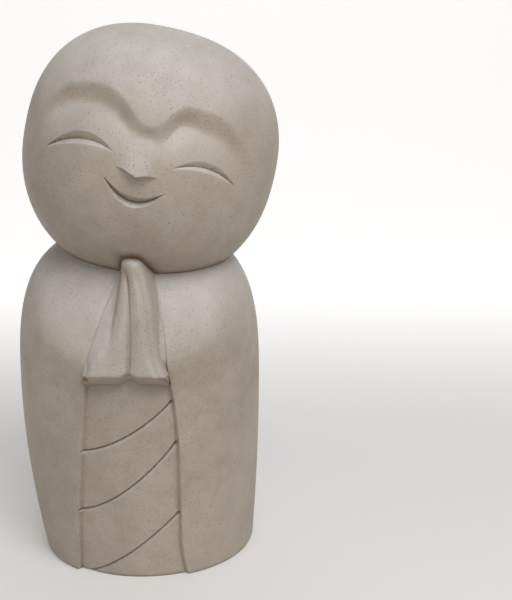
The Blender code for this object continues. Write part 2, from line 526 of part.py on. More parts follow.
def rays(units):
    """Start point and direction of the ray that each point of the unit sphere stands for.

    The middle of the sphere stands for the body, with level rays out of an upright spine.
    Its two ends stand for the crown and the foot, with rays that fan out.
    """
    share = np.clip(units[:, 2], -FAN_START, FAN_START)
    spine_share = 0.5 + 0.5 * share / FAN_START
    starts = np.zeros_like(units)
    starts[:, 0] = HEAD_CENTRE[0] * spine_share ** 2
    starts[:, 2] = SPINE_FOOT + (HEAD_CENTRE[2] - SPINE_FOOT) * spine_share
    fan = (np.abs(units[:, 2]) - FAN_START) / (1.0 - FAN_START)
    elevation = np.sign(units[:, 2]) * np.clip(fan, 0.0, 1.0) * 0.5 * math.pi
    flat = np.hypot(units[:, 0], units[:, 1])
    flat = np.where(flat < 1e-9, 1.0, flat)
    directions = np.empty_like(units)
    directions[:, 0] = units[:, 0] / flat * np.cos(elevation)
    directions[:, 1] = units[:, 1] / flat * np.cos(elevation)
    directions[:, 2] = np.sin(elevation)
    return starts, directions


def on_surface(units):
    """The outermost point of the statue on each ray."""
    starts, directions = rays(units)
    inner = np.zeros(len(units))
    found = np.zeros(len(units), dtype=bool)
    for step in range(SEARCH_STEPS, 0, -1):
        reach = FARTHEST * step / SEARCH_STEPS
        solid = statue_form(starts + directions * reach) < 0.0
        newly = solid & ~found
        inner[newly] = reach
        found |= newly
    outer = inner + FARTHEST / SEARCH_STEPS
    for _ in range(HALVINGS):
        middle = 0.5 * (inner + outer)
        solid = statue_form(starts + directions * middle[:, None]) < 0.0
        inner = np.where(solid, middle, inner)
        outer = np.where(solid, outer, middle)
    return starts + directions * inner[:, None]


def place(vertices, spot):
    """Moves vertices out to the unit sphere and stores each one's spot on the statue."""
    units = np.array([vertex.co.normalized()[:] for vertex in vertices])
    for vertex, unit, surface_point in zip(vertices, units, on_surface(units)):
        vertex.co = Vector(unit)
        vertex[spot] = Vector(surface_point)


def refine(bm, spot, tolerance, shortest):
    """Splits the edges whose chord leaves the statue's surface by more than the tolerance."""
    bm.verts.index_update()
    bm.edges.index_update()
    placed = np.array([vertex[spot][:] for vertex in bm.verts])
    ends = np.array([[edge.verts[0].index, edge.verts[1].index] for edge in bm.edges])
    first, second = placed[ends[:, 0]], placed[ends[:, 1]]
    off_surface = np.zeros(len(ends))
    for share in EDGE_SHARES:
        gap = np.abs(statue_form(first + (second - first) * share))
        off_surface = np.maximum(off_surface, gap)
    lengths = np.linalg.norm(second - first, axis=1)
    chosen = (off_surface > tolerance) & (lengths > shortest)
    face_edges = np.array([[edge.index for edge in face.edges] for face in bm.faces])
    longest = face_edges[np.arange(len(face_edges)), lengths[face_edges].argmax(axis=1)]
    chosen[longest[chosen[face_edges].any(axis=1)]] = True
    split = [edge for edge, wanted in zip(bm.edges, chosen) if wanted]
    made = bmesh.ops.subdivide_edges(bm, edges=split, cuts=1)["geom_inner"]
    place([item for item in made if isinstance(item, bmesh.types.BMVert)], spot)
    bmesh.ops.triangulate(bm, faces=bm.faces)


def statue_surface():
    """The statue's surface as a fine mesh, closed, with its underside below the cut."""
    bm = bmesh.new()
    spot = bm.verts.layers.float_vector.new("spot")
    bmesh.ops.create_uvsphere(bm, u_segments=START_SEGMENTS, v_segments=START_RINGS, radius=1.0)
    bmesh.ops.triangulate(bm, faces=bm.faces)
    place(bm.verts, spot)
    for _ in range(REFINING_PASSES):
        refine(bm, spot, SURFACE_TOLERANCE, SHORTEST_EDGE)
    for vertex in bm.verts:
        vertex.co = vertex[spot]
    bm.verts.layers.float_vector.remove(spot)
    mesh = bpy.data.meshes.new("statue_surface")
    bm.to_mesh(mesh)
    bm.free()
    return mesh


def thinned(mesh):
    """A copy of the mesh with large triangles where the surface is smooth."""
    fine = bpy.data.objects.new("fine_surface", mesh)
    bpy.context.scene.collection.objects.link(fine)
    decimate = fine.modifiers.new("Thin out", "DECIMATE")
    decimate.ratio = TRIANGLE_TARGET / len(mesh.polygons)
    decimate.use_collapse_triangulate = True
    evaluated = fine.evaluated_get(bpy.context.evaluated_depsgraph_get())
    thin_mesh = bpy.data.meshes.new_from_object(evaluated)
    bpy.data.objects.remove(fine, do_unlink=True)
    bpy.data.meshes.remove(mesh)
    return thin_mesh


def cut_flat(mesh):
    """Cuts the mesh off level at the ground and closes its underside."""
    bm = bmesh.new()
    bm.from_mesh(mesh)
    everything = bm.verts[:] + bm.edges[:] + bm.faces[:]
    cut = bmesh.ops.bisect_plane(bm, geom=everything, dist=1e-6, plane_co=(0.0, 0.0, 0.0),
                                 plane_no=(0.0, 0.0, -1.0), clear_outer=True)
    rim = [item for item in cut["geom_cut"] if isinstance(item, bmesh.types.BMEdge)]
    bmesh.ops.contextual_create(bm, geom=rim)
    bmesh.ops.triangulate(bm, faces=bm.faces)
    bmesh.ops.recalc_face_normals(bm, faces=bm.faces)
    bm.to_mesh(mesh)
    bm.free()


def stone_material():
    """Plain cast stone."""
    material = bpy.data.materials.new("cast stone")
    material.use_nodes = True
    shader = material.node_tree.nodes["Principled BSDF"]
    shader.inputs["Base Color"].default_value = STONE_COLOUR
    shader.inputs["Roughness"].default_value = STONE_ROUGHNESS
    shader.inputs["Metallic"].default_value = STONE_METALLIC
    return material


def build():
    """Builds the statue in a collection of its own."""
    for old in list(bpy.data.objects):
        bpy.data.objects.remove(old, do_unlink=True)
    collection = bpy.data.collections.new("stone jizo statue")
    bpy.context.scene.collection.children.link(collection)
    mesh = thinned(statue_surface())
    cut_flat(mesh)
    mesh.name = "jizo_statue"
    mesh.shade_smooth()
    mesh.set_sharp_from_angle(angle=SHARP_ANGLE)
    mesh.materials.append(stone_material())
    statue = bpy.data.objects.new("jizo_statue", mesh)
    collection.objects.link(statue)


build()
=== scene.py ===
"""Stone jizo statue, dressed for the picture: a fine mesh of the same carved form, in cast stone."""

import json
import math

import bmesh
import bpy
import numpy as np
from mathutils import Matrix, Vector

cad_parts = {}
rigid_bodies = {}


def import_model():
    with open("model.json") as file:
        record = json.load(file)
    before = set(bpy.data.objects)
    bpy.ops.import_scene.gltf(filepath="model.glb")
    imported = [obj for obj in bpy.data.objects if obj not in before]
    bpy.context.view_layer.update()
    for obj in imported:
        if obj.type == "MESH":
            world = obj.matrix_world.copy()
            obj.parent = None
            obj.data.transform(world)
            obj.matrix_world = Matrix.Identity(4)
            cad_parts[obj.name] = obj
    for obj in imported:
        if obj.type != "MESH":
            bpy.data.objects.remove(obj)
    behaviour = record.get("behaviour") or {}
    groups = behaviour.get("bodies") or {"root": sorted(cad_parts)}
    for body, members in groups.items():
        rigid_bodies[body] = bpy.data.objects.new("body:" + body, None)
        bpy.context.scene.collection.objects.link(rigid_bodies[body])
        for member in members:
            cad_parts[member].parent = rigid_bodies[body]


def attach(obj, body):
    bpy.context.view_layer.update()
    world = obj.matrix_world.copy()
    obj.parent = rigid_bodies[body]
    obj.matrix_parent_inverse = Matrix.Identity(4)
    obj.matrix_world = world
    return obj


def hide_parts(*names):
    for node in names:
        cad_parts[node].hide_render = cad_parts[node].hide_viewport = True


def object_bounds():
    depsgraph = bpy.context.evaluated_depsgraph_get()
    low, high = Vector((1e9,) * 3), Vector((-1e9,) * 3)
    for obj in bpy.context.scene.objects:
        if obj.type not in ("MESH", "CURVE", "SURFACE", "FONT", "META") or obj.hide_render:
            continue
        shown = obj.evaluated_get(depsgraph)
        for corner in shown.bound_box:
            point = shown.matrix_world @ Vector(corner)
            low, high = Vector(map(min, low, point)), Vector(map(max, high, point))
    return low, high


for leftover in list(bpy.data.objects):
    bpy.data.objects.remove(leftover, do_unlink=True)

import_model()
cad_low, cad_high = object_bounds()

# Overall height of the statue, as packed
STATUE_HEIGHT = cad_high.z - cad_low.z

# Body: a barrel, widest a third of the way up, with rounded shoulders inside the head
BODY_HALF_WIDTH = 0.2300 * STATUE_HEIGHT
BODY_HALF_DEPTH = 0.1990 * STATUE_HEIGHT
BODY_WIDEST_LEVEL = 0.3333 * STATUE_HEIGHT
SHOULDER_TOP = 0.6340 * STATUE_HEIGHT
SHOULDER_SQUARENESS = 3.1
CHEST_LEAN = 0.0480 * STATUE_HEIGHT
CARVING_FADE_START = 0.0100 * STATUE_HEIGHT
CARVING_FADE_END = 0.1100 * STATUE_HEIGHT
BODY_PLAN_SQUARENESS = 2.05
BODY_SIDE_SHIFT = -0.0060 * STATUE_HEIGHT
FOOT_SIDE_SHIFT = 0.0085 * STATUE_HEIGHT
FOOT_BACK_SHIFT = 0.0225 * STATUE_HEIGHT
FOOT_TAPER = 0.0220 * STATUE_HEIGHT
FOOT_TAPER_BOW = 1.8
FOOT_EDGE_RADIUS = 0.0130 * STATUE_HEIGHT

# Head: a rounded box-like ball, tilted to one side and turned a little
HEAD_HALF_WIDTH = 0.2295 * STATUE_HEIGHT
HEAD_HALF_DEPTH = 0.2220 * STATUE_HEIGHT
HEAD_UPPER_HEIGHT = 0.2230 * STATUE_HEIGHT
HEAD_LOWER_HEIGHT = 0.2370 * STATUE_HEIGHT
HEAD_PLAN_SQUARENESS = 2.15
HEAD_UPPER_SQUARENESS = 2.38
HEAD_LOWER_SQUARENESS = 2.20
HEAD_SIDE_SHIFT = 0.0270 * STATUE_HEIGHT
HEAD_FORWARD_SHIFT = 0.0120 * STATUE_HEIGHT
HEAD_TILT = math.radians(13.5)
HEAD_TURN = math.radians(3.1)
NECK_FILLET = 0.0025 * STATUE_HEIGHT
FACE_FADE = 0.0780 * STATUE_HEIGHT

# Brow: the forehead stands over the eye sockets along two arches, with a rounded tip between
BROW_TIP_LEVEL = 0.0570 * STATUE_HEIGHT
BROW_TIP_OFFSET = 0.0030 * STATUE_HEIGHT
BROW_TIP_HALF_WIDTH = 0.0160 * STATUE_HEIGHT
BROW_TIP_ROUNDING = 0.0090 * STATUE_HEIGHT
BROW_LEFT_RISE = 0.0500 * STATUE_HEIGHT
BROW_RIGHT_RISE = 0.0455 * STATUE_HEIGHT
BROW_LEFT_PEAK = -0.0880 * STATUE_HEIGHT
BROW_RIGHT_PEAK = 0.0700 * STATUE_HEIGHT
BROW_OUTER_LENGTH = 0.0960 * STATUE_HEIGHT
BROW_LEFT_BOW = 2.0
BROW_RIGHT_BOW = 2.9
BROW_OUTER_BOW = 2.6
BROW_SLOPE_SPAN = 0.0160 * STATUE_HEIGHT
BROW_INNER_STEP_WIDTH = 0.0270 * STATUE_HEIGHT
BROW_OUTER_STEP_WIDTH = 0.0420 * STATUE_HEIGHT
SOCKET_INNER_DEPTH = 0.0270 * STATUE_HEIGHT
SOCKET_OUTER_DEPTH = 0.0150 * STATUE_HEIGHT
SOCKET_LENGTH_START = 0.0110 * STATUE_HEIGHT
SOCKET_LENGTH = 0.1150 * STATUE_HEIGHT
TEMPLE_START = 0.1520 * STATUE_HEIGHT
TEMPLE_END = 0.2090 * STATUE_HEIGHT

# Nose: a wedge that widens and rises towards its tip
NOSE_TOP = 0.0450 * STATUE_HEIGHT
NOSE_TIP = -0.0273 * STATUE_HEIGHT
NOSE_LEFT_WING_RISE = 0.0088 * STATUE_HEIGHT
NOSE_RIGHT_WING_RISE = 0.0064 * STATUE_HEIGHT
NOSE_TOP_HEIGHT = -0.0200 * STATUE_HEIGHT
NOSE_TIP_HEIGHT = 0.0135 * STATUE_HEIGHT
NOSE_TOP_HALF_WIDTH = 0.0200 * STATUE_HEIGHT
NOSE_TIP_HALF_WIDTH = 0.0205 * STATUE_HEIGHT
NOSE_OFFSET = -0.0038 * STATUE_HEIGHT
NOSE_SIDE_SLOPE = 1.35
NOSE_UNDER_SLOPE = 3.2
NOSE_EDGE_RADIUS = 0.0100 * STATUE_HEIGHT
NOSE_FILLET = 0.0150 * STATUE_HEIGHT

# Eyes: arched grooves, pointed at both ends
LEFT_EYE_INNER = (0.0464 * STATUE_HEIGHT, 0.0020 * STATUE_HEIGHT)
LEFT_EYE_OUTER = (0.1635 * STATUE_HEIGHT, -0.0197 * STATUE_HEIGHT)
RIGHT_EYE_INNER = (0.0505 * STATUE_HEIGHT, -0.0030 * STATUE_HEIGHT)
RIGHT_EYE_OUTER = (0.1586 * STATUE_HEIGHT, -0.0120 * STATUE_HEIGHT)
LEFT_EYE_UPPER_BOW = 0.0314 * STATUE_HEIGHT
LEFT_EYE_LOWER_BOW = 0.0108 * STATUE_HEIGHT
RIGHT_EYE_UPPER_BOW = 0.0268 * STATUE_HEIGHT
RIGHT_EYE_LOWER_BOW = 0.0104 * STATUE_HEIGHT
EYE_UPPER_WALL_SLOPE = 0.60
EYE_LOWER_WALL_SLOPE = 1.15

# Mouth: a smiling groove, bowed downwards
MOUTH_LEFT = (-0.0570 * STATUE_HEIGHT, -0.0365 * STATUE_HEIGHT)
MOUTH_RIGHT = (0.0495 * STATUE_HEIGHT, -0.0428 * STATUE_HEIGHT)
MOUTH_UPPER_BOW = -0.0210 * STATUE_HEIGHT
MOUTH_LOWER_BOW = -0.0395 * STATUE_HEIGHT
MOUTH_UPPER_WALL_SLOPE = 0.95
MOUTH_LOWER_WALL_SLOPE = 1.15

# Forearms: the sleeves swell forward over the hanging part of the robe
FOREARM_LEVEL = 0.4060 * STATUE_HEIGHT
FOREARM_RISE = 0.0190 * STATUE_HEIGHT
FOREARM_UPPER_FADE = 0.1400 * STATUE_HEIGHT
FOREARM_LOWER_FADE = 0.0600 * STATUE_HEIGHT
FOREARM_SIDE_LOWER_FADE = 0.1300 * STATUE_HEIGHT
FOREARM_SIDE_LIFT = 0.1100 * STATUE_HEIGHT
FOREARM_SIDE_LIFT_BOW = 1.6
FOREARM_SIDE_FADE = 0.60
FOREARM_PANEL_FADE = 0.0100 * STATUE_HEIGHT

# Hands: two palms pressed together, with a groove between them
HAND_TOP = 0.5985 * STATUE_HEIGHT
HAND_BOTTOM = 0.4020 * STATUE_HEIGHT
HAND_TOP_REACH = 0.1900 * STATUE_HEIGHT
HAND_BOTTOM_REACH = 0.2270 * STATUE_HEIGHT
HAND_EDGE_RADIUS = 0.0080 * STATUE_HEIGHT
HAND_TOP_RADIUS = 0.0110 * STATUE_HEIGHT
HAND_FILLET = 0.0025 * STATUE_HEIGHT
HAND_SIDE_FILLET = 0.0070 * STATUE_HEIGHT
HAND_SIDE_FILLET_FADE = (0.85, 1.0)
HAND_UNDERSIDE_SLOPE = 0.60
HAND_UNDERSIDE_RADIUS = 0.0050 * STATUE_HEIGHT
NOTCH_HEIGHT = 0.0085 * STATUE_HEIGHT
NOTCH_WIDTH = 0.0110 * STATUE_HEIGHT
PALM_LINE_OFFSET = 0.0070 * STATUE_HEIGHT
PALM_LINE_LEAN = 0.0100 * STATUE_HEIGHT
PALM_LINE_HEEL = 0.0035 * STATUE_HEIGHT
PALM_LINE_BOW = 3
PALM_HEEL_BOW = 6
PALM_SIDE_SLOPE_BOW = 3
PALM_HOLLOW_FADE = (0.05, 0.20)
PALM_GROOVE_DEPTH = 0.0034 * STATUE_HEIGHT
PALM_GROOVE_HALF_WIDTH = 0.0048 * STATUE_HEIGHT
PALM_VALLEY_DEPTH = 0.0052 * STATUE_HEIGHT
PALM_VALLEY_WIDTH = 0.0110 * STATUE_HEIGHT
RIGHT_PALM_ROUND_OVER = 0.0160 * STATUE_HEIGHT
RIGHT_PALM_SIDE_SLOPE = 2.5
RIGHT_PALM_SIDE_TOP_SLOPE = 5.0
RIGHT_PALM_SIDE_HEEL_SLOPE = 4.0
RIGHT_PALM_TOP_EDGE = 0.0205 * STATUE_HEIGHT
RIGHT_PALM_SPREAD = 0.0265 * STATUE_HEIGHT
RIGHT_PALM_HEEL = 0.0195 * STATUE_HEIGHT
RIGHT_PALM_BOW = 3
RIGHT_VALLEY_DEPTH = 0.0032 * STATUE_HEIGHT
RIGHT_VALLEY_WIDTH = 0.0065 * STATUE_HEIGHT
RIGHT_VALLEY_OFFSET = 0.0100 * STATUE_HEIGHT
LEFT_PALM_ROUND_OVER = 0.0120 * STATUE_HEIGHT
LEFT_PALM_SIDE_SLOPE = 2.5
LEFT_PALM_SIDE_TOP_SLOPE = 6.0
LEFT_PALM_TOP_EDGE = -0.0065 * STATUE_HEIGHT
LEFT_PALM_SPREAD = -0.0400 * STATUE_HEIGHT
LEFT_PALM_STEP = 0.0065 * STATUE_HEIGHT
LEFT_PALM_STEP_FADE = (0.5, 0.95)
LEFT_VALLEY_DEPTH = 0.0075 * STATUE_HEIGHT
LEFT_VALLEY_WIDTH = 0.0120 * STATUE_HEIGHT
LEFT_VALLEY_FADE = (0.5, 1.0)
LEFT_CUFF_LINE_DEPTH = 0.0036 * STATUE_HEIGHT
LEFT_CUFF_LINE_OUTER_WIDTH = 0.0100 * STATUE_HEIGHT
LEFT_CUFF_LINE_INNER_WIDTH = 0.0016 * STATUE_HEIGHT
LEFT_CUFF_SLOPE = 0.30
LEFT_CUFF_TOP_SLOPE = 1.0
LEFT_CUFF_SLOPE_BOW = 3
LEFT_CUFF_HEEL_SLOPE = 1.60
LEFT_CUFF_OVERLAP = 0.0050 * STATUE_HEIGHT

# Robe opening: a sunk panel between the sleeves, which runs up around the hands
PANEL_DEPTH = 0.0080 * STATUE_HEIGHT
PANEL_DEPTH_AT_HANDS = 0.0015 * STATUE_HEIGHT
PANEL_FADE = 0.15
PANEL_WALL_SLOPE = 1.1
LEFT_EDGE_FOOT = -0.1140 * STATUE_HEIGHT
LEFT_EDGE_WAIST = -0.0760 * STATUE_HEIGHT
LEFT_EDGE_NECK = -0.0080 * STATUE_HEIGHT
LEFT_EDGE_BOW = 1.3
LEFT_EDGE_NECK_BOW = 1.15
RIGHT_EDGE_WIDEST = 0.0870 * STATUE_HEIGHT
RIGHT_EDGE_WIDEST_LEVEL = 0.2200 * STATUE_HEIGHT
RIGHT_EDGE_WAIST = 0.0710 * STATUE_HEIGHT
RIGHT_EDGE_NECK = 0.0370 * STATUE_HEIGHT
RIGHT_EDGE_NECK_BOW = 1.5
RIGHT_EDGE_FLARE = 0.0100 * STATUE_HEIGHT
RIGHT_EDGE_FLARE_LEVEL = 0.0850 * STATUE_HEIGHT

# Each fold: its level at the panel's left edge, its rise to the right edge, and its bow
FOLDS = (
    (0.2495 * STATUE_HEIGHT, 0.1010 * STATUE_HEIGHT, 1.57),
    (0.1305 * STATUE_HEIGHT, 0.1450 * STATUE_HEIGHT, 1.56),
    (-0.0065 * STATUE_HEIGHT, 0.1410 * STATUE_HEIGHT, 1.40),
)
FOLD_LINE_DEPTH = 0.0042 * STATUE_HEIGHT
FOLD_LINE_WIDTH = 0.0040 * STATUE_HEIGHT
FOLD_VALLEY_DEPTH = 0.0022 * STATUE_HEIGHT
FOLD_VALLEY_WIDTH = 0.0200 * STATUE_HEIGHT

# How closely the fine mesh follows the form
START_SEGMENTS = 96
START_RINGS = 128
SPINE_FOOT = 0.2000 * STATUE_HEIGHT
FAN_START = 0.62
FARTHEST = 0.4000 * STATUE_HEIGHT
SEARCH_STEPS = 28
HALVINGS = 20
EDGE_SHARES = (0.25, 0.50, 0.75)
SURFACE_TOLERANCE = 0.00005 * STATUE_HEIGHT
SHORTEST_EDGE = 0.0010 * STATUE_HEIGHT
REFINING_PASSES = 7
CUT_MARGIN = 0.0040 * STATUE_HEIGHT

# Size and length below which a value counts as nothing
LEAST_SIZE = 1e-6
LEAST_REACH = 1e-9


def smooth_ramp(low, high, value):
    """Rises from 0 at low to 1 at high, level at both ends."""
    share = np.clip((value - low) / (high - low), 0.0, 1.0)
    return share * share * (3.0 - 2.0 * share)


def joined(first, second, fillet):
    """The union of two forms, with a fillet where they meet."""
    share = np.clip(0.5 + 0.5 * (second - first) / fillet, 0.0, 1.0)
    return second + (first - second) * share - fillet * share * (1.0 - share)


def trimmed(first, second, round_over):
    """What two forms have in common, with the edge between them rounded over."""
    return -joined(-first, -second, round_over)


def head_axes():
    """The head's own right, back and up directions, as the columns of a matrix."""
    tilt_cos, tilt_sin = math.cos(HEAD_TILT), math.sin(HEAD_TILT)
    turn_cos, turn_sin = math.cos(HEAD_TURN), math.sin(HEAD_TURN)
    tilt = np.array([[tilt_cos, 0.0, tilt_sin], [0.0, 1.0, 0.0], [-tilt_sin, 0.0, tilt_cos]])
    turn = np.array([[turn_cos, -turn_sin, 0.0], [turn_sin, turn_cos, 0.0], [0.0, 0.0, 1.0]])
    return tilt @ turn


def head_rise(axes):
    """Height of the tilted head's highest point over its centre."""
    half_sizes = (HEAD_HALF_WIDTH, HEAD_HALF_DEPTH, HEAD_UPPER_HEIGHT)
    across, along, up = (abs(axes[2, i]) * half_sizes[i] for i in range(3))
    plan_power = HEAD_PLAN_SQUARENESS / (HEAD_PLAN_SQUARENESS - 1.0)
    power = HEAD_UPPER_SQUARENESS / (HEAD_UPPER_SQUARENESS - 1.0)
    plan = (across ** plan_power + along ** plan_power) ** (1.0 / plan_power)
    return (plan ** power + up ** power) ** (1.0 / power)


HEAD_AXES = head_axes()
HEAD_CENTRE = np.array([
    HEAD_SIDE_SHIFT,
    -HEAD_FORWARD_SHIFT,
    STATUE_HEIGHT - head_rise(HEAD_AXES),
])


def crescent(across, up, inner, outer, upper_bow, lower_bow, upper_slope, lower_slope):
    """Depth of a V-shaped groove between two arcs that meet at its inner and outer corners."""
    share = (across - inner[0]) / (outer[0] - inner[0])
    chord = inner[1] + (outer[1] - inner[1]) * share
    arc = 1.0 - np.clip(2.0 * share - 1.0, -1.0, 1.0) ** 2
    from_upper = (chord + upper_bow * arc - up) * upper_slope
    from_lower = (up - chord - lower_bow * arc) * lower_slope
    within = (share > 0.0) & (share < 1.0)
    return np.where(within, np.clip(np.minimum(from_upper, from_lower), 0.0, None), 0.0)


def brow_line(across):
    """Level of the forehead's lower edge, at a distance to either side of the face's middle."""
    left = across < BROW_TIP_OFFSET
    peak = np.where(left, BROW_LEFT_PEAK, BROW_RIGHT_PEAK)
    rise = np.where(left, BROW_LEFT_RISE, BROW_RIGHT_RISE)
    bow = np.where(left, BROW_LEFT_BOW, BROW_RIGHT_BOW)
    to_peak = np.abs(peak - BROW_TIP_OFFSET) - BROW_TIP_HALF_WIDTH
    from_tip = np.abs(across - BROW_TIP_OFFSET) - BROW_TIP_HALF_WIDTH
    at_tip = math.hypot(BROW_TIP_HALF_WIDTH, BROW_TIP_ROUNDING) - BROW_TIP_HALF_WIDTH
    from_tip = 0.5 * (from_tip + np.hypot(from_tip, BROW_TIP_ROUNDING) - at_tip)
    inner = 1.0 - np.clip(from_tip / to_peak, 0.0, 1.0)
    outer = np.clip(from_tip - to_peak, 0.0, None) / BROW_OUTER_LENGTH
    return BROW_TIP_LEVEL + rise * (1.0 - inner ** bow - outer ** BROW_OUTER_BOW)


def socket_depth(across, up):
    """Depth of the eye socket below the plain head: a soft step at the brow that fades out."""
    ahead, behind = across + 0.5 * BROW_SLOPE_SPAN, across - 0.5 * BROW_SLOPE_SPAN
    slope = (brow_line(ahead) - brow_line(behind)) / BROW_SLOPE_SPAN
    below = (brow_line(across) - up) / np.hypot(1.0, slope)
    side = np.abs(across - BROW_TIP_OFFSET)
    outward = smooth_ramp(0.0, BROW_OUTER_LENGTH, side)
    step_width = BROW_INNER_STEP_WIDTH + (BROW_OUTER_STEP_WIDTH - BROW_INNER_STEP_WIDTH) * outward
    step = smooth_ramp(0.0, step_width, below)
    below_peak = BROW_TIP_LEVEL + BROW_LEFT_RISE - up
    fade = 1.0 - smooth_ramp(SOCKET_LENGTH_START, SOCKET_LENGTH, below_peak)
    temple = 1.0 - smooth_ramp(TEMPLE_START, TEMPLE_END, side)
    depth = SOCKET_INNER_DEPTH + (SOCKET_OUTER_DEPTH - SOCKET_INNER_DEPTH) * outward
    return depth * step * fade * temple


def nose_height(across, up):
    """Height of the nose over the plain head, far below it outside the nose."""
    side = np.abs(across - NOSE_OFFSET)
    wing_rise = np.where(across < NOSE_OFFSET, NOSE_LEFT_WING_RISE, NOSE_RIGHT_WING_RISE)
    share = (NOSE_TOP - up) / (NOSE_TOP - NOSE_TIP)
    ridge = NOSE_TOP_HEIGHT + (NOSE_TIP_HEIGHT - NOSE_TOP_HEIGHT) * share
    half_width = NOSE_TOP_HALF_WIDTH + (NOSE_TIP_HALF_WIDTH - NOSE_TOP_HALF_WIDTH) * share
    flank = ridge + (half_width - side) * NOSE_SIDE_SLOPE
    lower_edge = NOSE_TIP + wing_rise * side / NOSE_TIP_HALF_WIDTH
    underside = ridge + (up - lower_edge) * NOSE_UNDER_SLOPE
    return np.minimum(joined(ridge, flank, NOSE_EDGE_RADIUS), underside)


def face_relief(across, up):
    """Height of the carved face over the plain head, in the head's own directions."""
    ground = -socket_depth(across, up)
    relief = trimmed(ground, nose_height(across, up), NOSE_FILLET)
    left_eye = crescent(-across, up, LEFT_EYE_INNER, LEFT_EYE_OUTER, LEFT_EYE_UPPER_BOW,
                        LEFT_EYE_LOWER_BOW, EYE_UPPER_WALL_SLOPE, EYE_LOWER_WALL_SLOPE)
    right_eye = crescent(across, up, RIGHT_EYE_INNER, RIGHT_EYE_OUTER, RIGHT_EYE_UPPER_BOW,
                         RIGHT_EYE_LOWER_BOW, EYE_UPPER_WALL_SLOPE, EYE_LOWER_WALL_SLOPE)
    mouth = crescent(across, up, MOUTH_LEFT, MOUTH_RIGHT, MOUTH_UPPER_BOW, MOUTH_LOWER_BOW,
                     MOUTH_UPPER_WALL_SLOPE, MOUTH_LOWER_WALL_SLOPE)
    return relief - left_eye - right_eye - mouth


def head_form(points):
    """Signed distance-like value of the carved head."""
    local = (points - HEAD_CENTRE) @ HEAD_AXES
    across, back, up = local[..., 0], local[..., 1], local[..., 2]
    plan = (np.abs(across / HEAD_HALF_WIDTH) ** HEAD_PLAN_SQUARENESS
            + np.abs(back / HEAD_HALF_DEPTH) ** HEAD_PLAN_SQUARENESS)
    squareness = np.where(up > 0.0, HEAD_UPPER_SQUARENESS, HEAD_LOWER_SQUARENESS)
    half_height = np.where(up > 0.0, HEAD_UPPER_HEIGHT, HEAD_LOWER_HEIGHT)
    plan = plan ** (squareness / HEAD_PLAN_SQUARENESS)
    size = (plan + np.abs(up / half_height) ** squareness) ** (1.0 / squareness)
    distance = np.linalg.norm(local, axis=-1) * (1.0 - 1.0 / np.maximum(size, LEAST_SIZE))
    front = smooth_ramp(0.0, FACE_FADE, -back)
    return distance - front * face_relief(across, up)


def up_the_hands(level):
    """0 at the heel of the hands and below, 1 at their fingertips."""
    return np.clip((level - HAND_BOTTOM) / (HAND_TOP - HAND_BOTTOM), 0.0, 1.0)


def left_edge(level):
    """Where the left sleeve's edge runs, from the foot up to the neck."""
    share = np.clip(level / HAND_BOTTOM, 0.0, 1.0)
    below = LEFT_EDGE_FOOT + (LEFT_EDGE_WAIST - LEFT_EDGE_FOOT) * share ** LEFT_EDGE_BOW
    above = (LEFT_EDGE_NECK - LEFT_EDGE_WAIST) * up_the_hands(level) ** LEFT_EDGE_NECK_BOW
    return below + above


def right_edge(level):
    """Where the right sleeve's edge runs, from the foot up to the neck."""
    share = (level - RIGHT_EDGE_WIDEST_LEVEL) / (HAND_BOTTOM - RIGHT_EDGE_WIDEST_LEVEL)
    below = (RIGHT_EDGE_WAIST - RIGHT_EDGE_WIDEST) * np.clip(share, 0.0, 1.0) ** 2
    above = (RIGHT_EDGE_NECK - RIGHT_EDGE_WAIST) * up_the_hands(level) ** RIGHT_EDGE_NECK_BOW
    flare = RIGHT_EDGE_FLARE * np.clip(1.0 - level / RIGHT_EDGE_FLARE_LEVEL, 0.0, 1.0) ** 2
    return RIGHT_EDGE_WIDEST + below + above + flare


def fold_depth(across, level):
    """Depth of the drawn folds: a sharp line in a shallow valley for each."""
    left, right = left_edge(level), right_edge(level)
    share = np.clip((across - left) / (right - left), 0.0, 1.0)
    depth = np.zeros_like(across)
    for start, rise, bow in FOLDS:
        slope = rise * bow * share ** (bow - 1.0) / (right - left)
        off_line = np.abs(level - start - rise * share ** bow) / np.hypot(1.0, slope)
        line = FOLD_LINE_DEPTH * np.clip(1.0 - off_line / FOLD_LINE_WIDTH, 0.0, None)
        valley = FOLD_VALLEY_DEPTH * np.exp(-(off_line / FOLD_VALLEY_WIDTH) ** 2)
        depth = depth + line + valley
    return depth


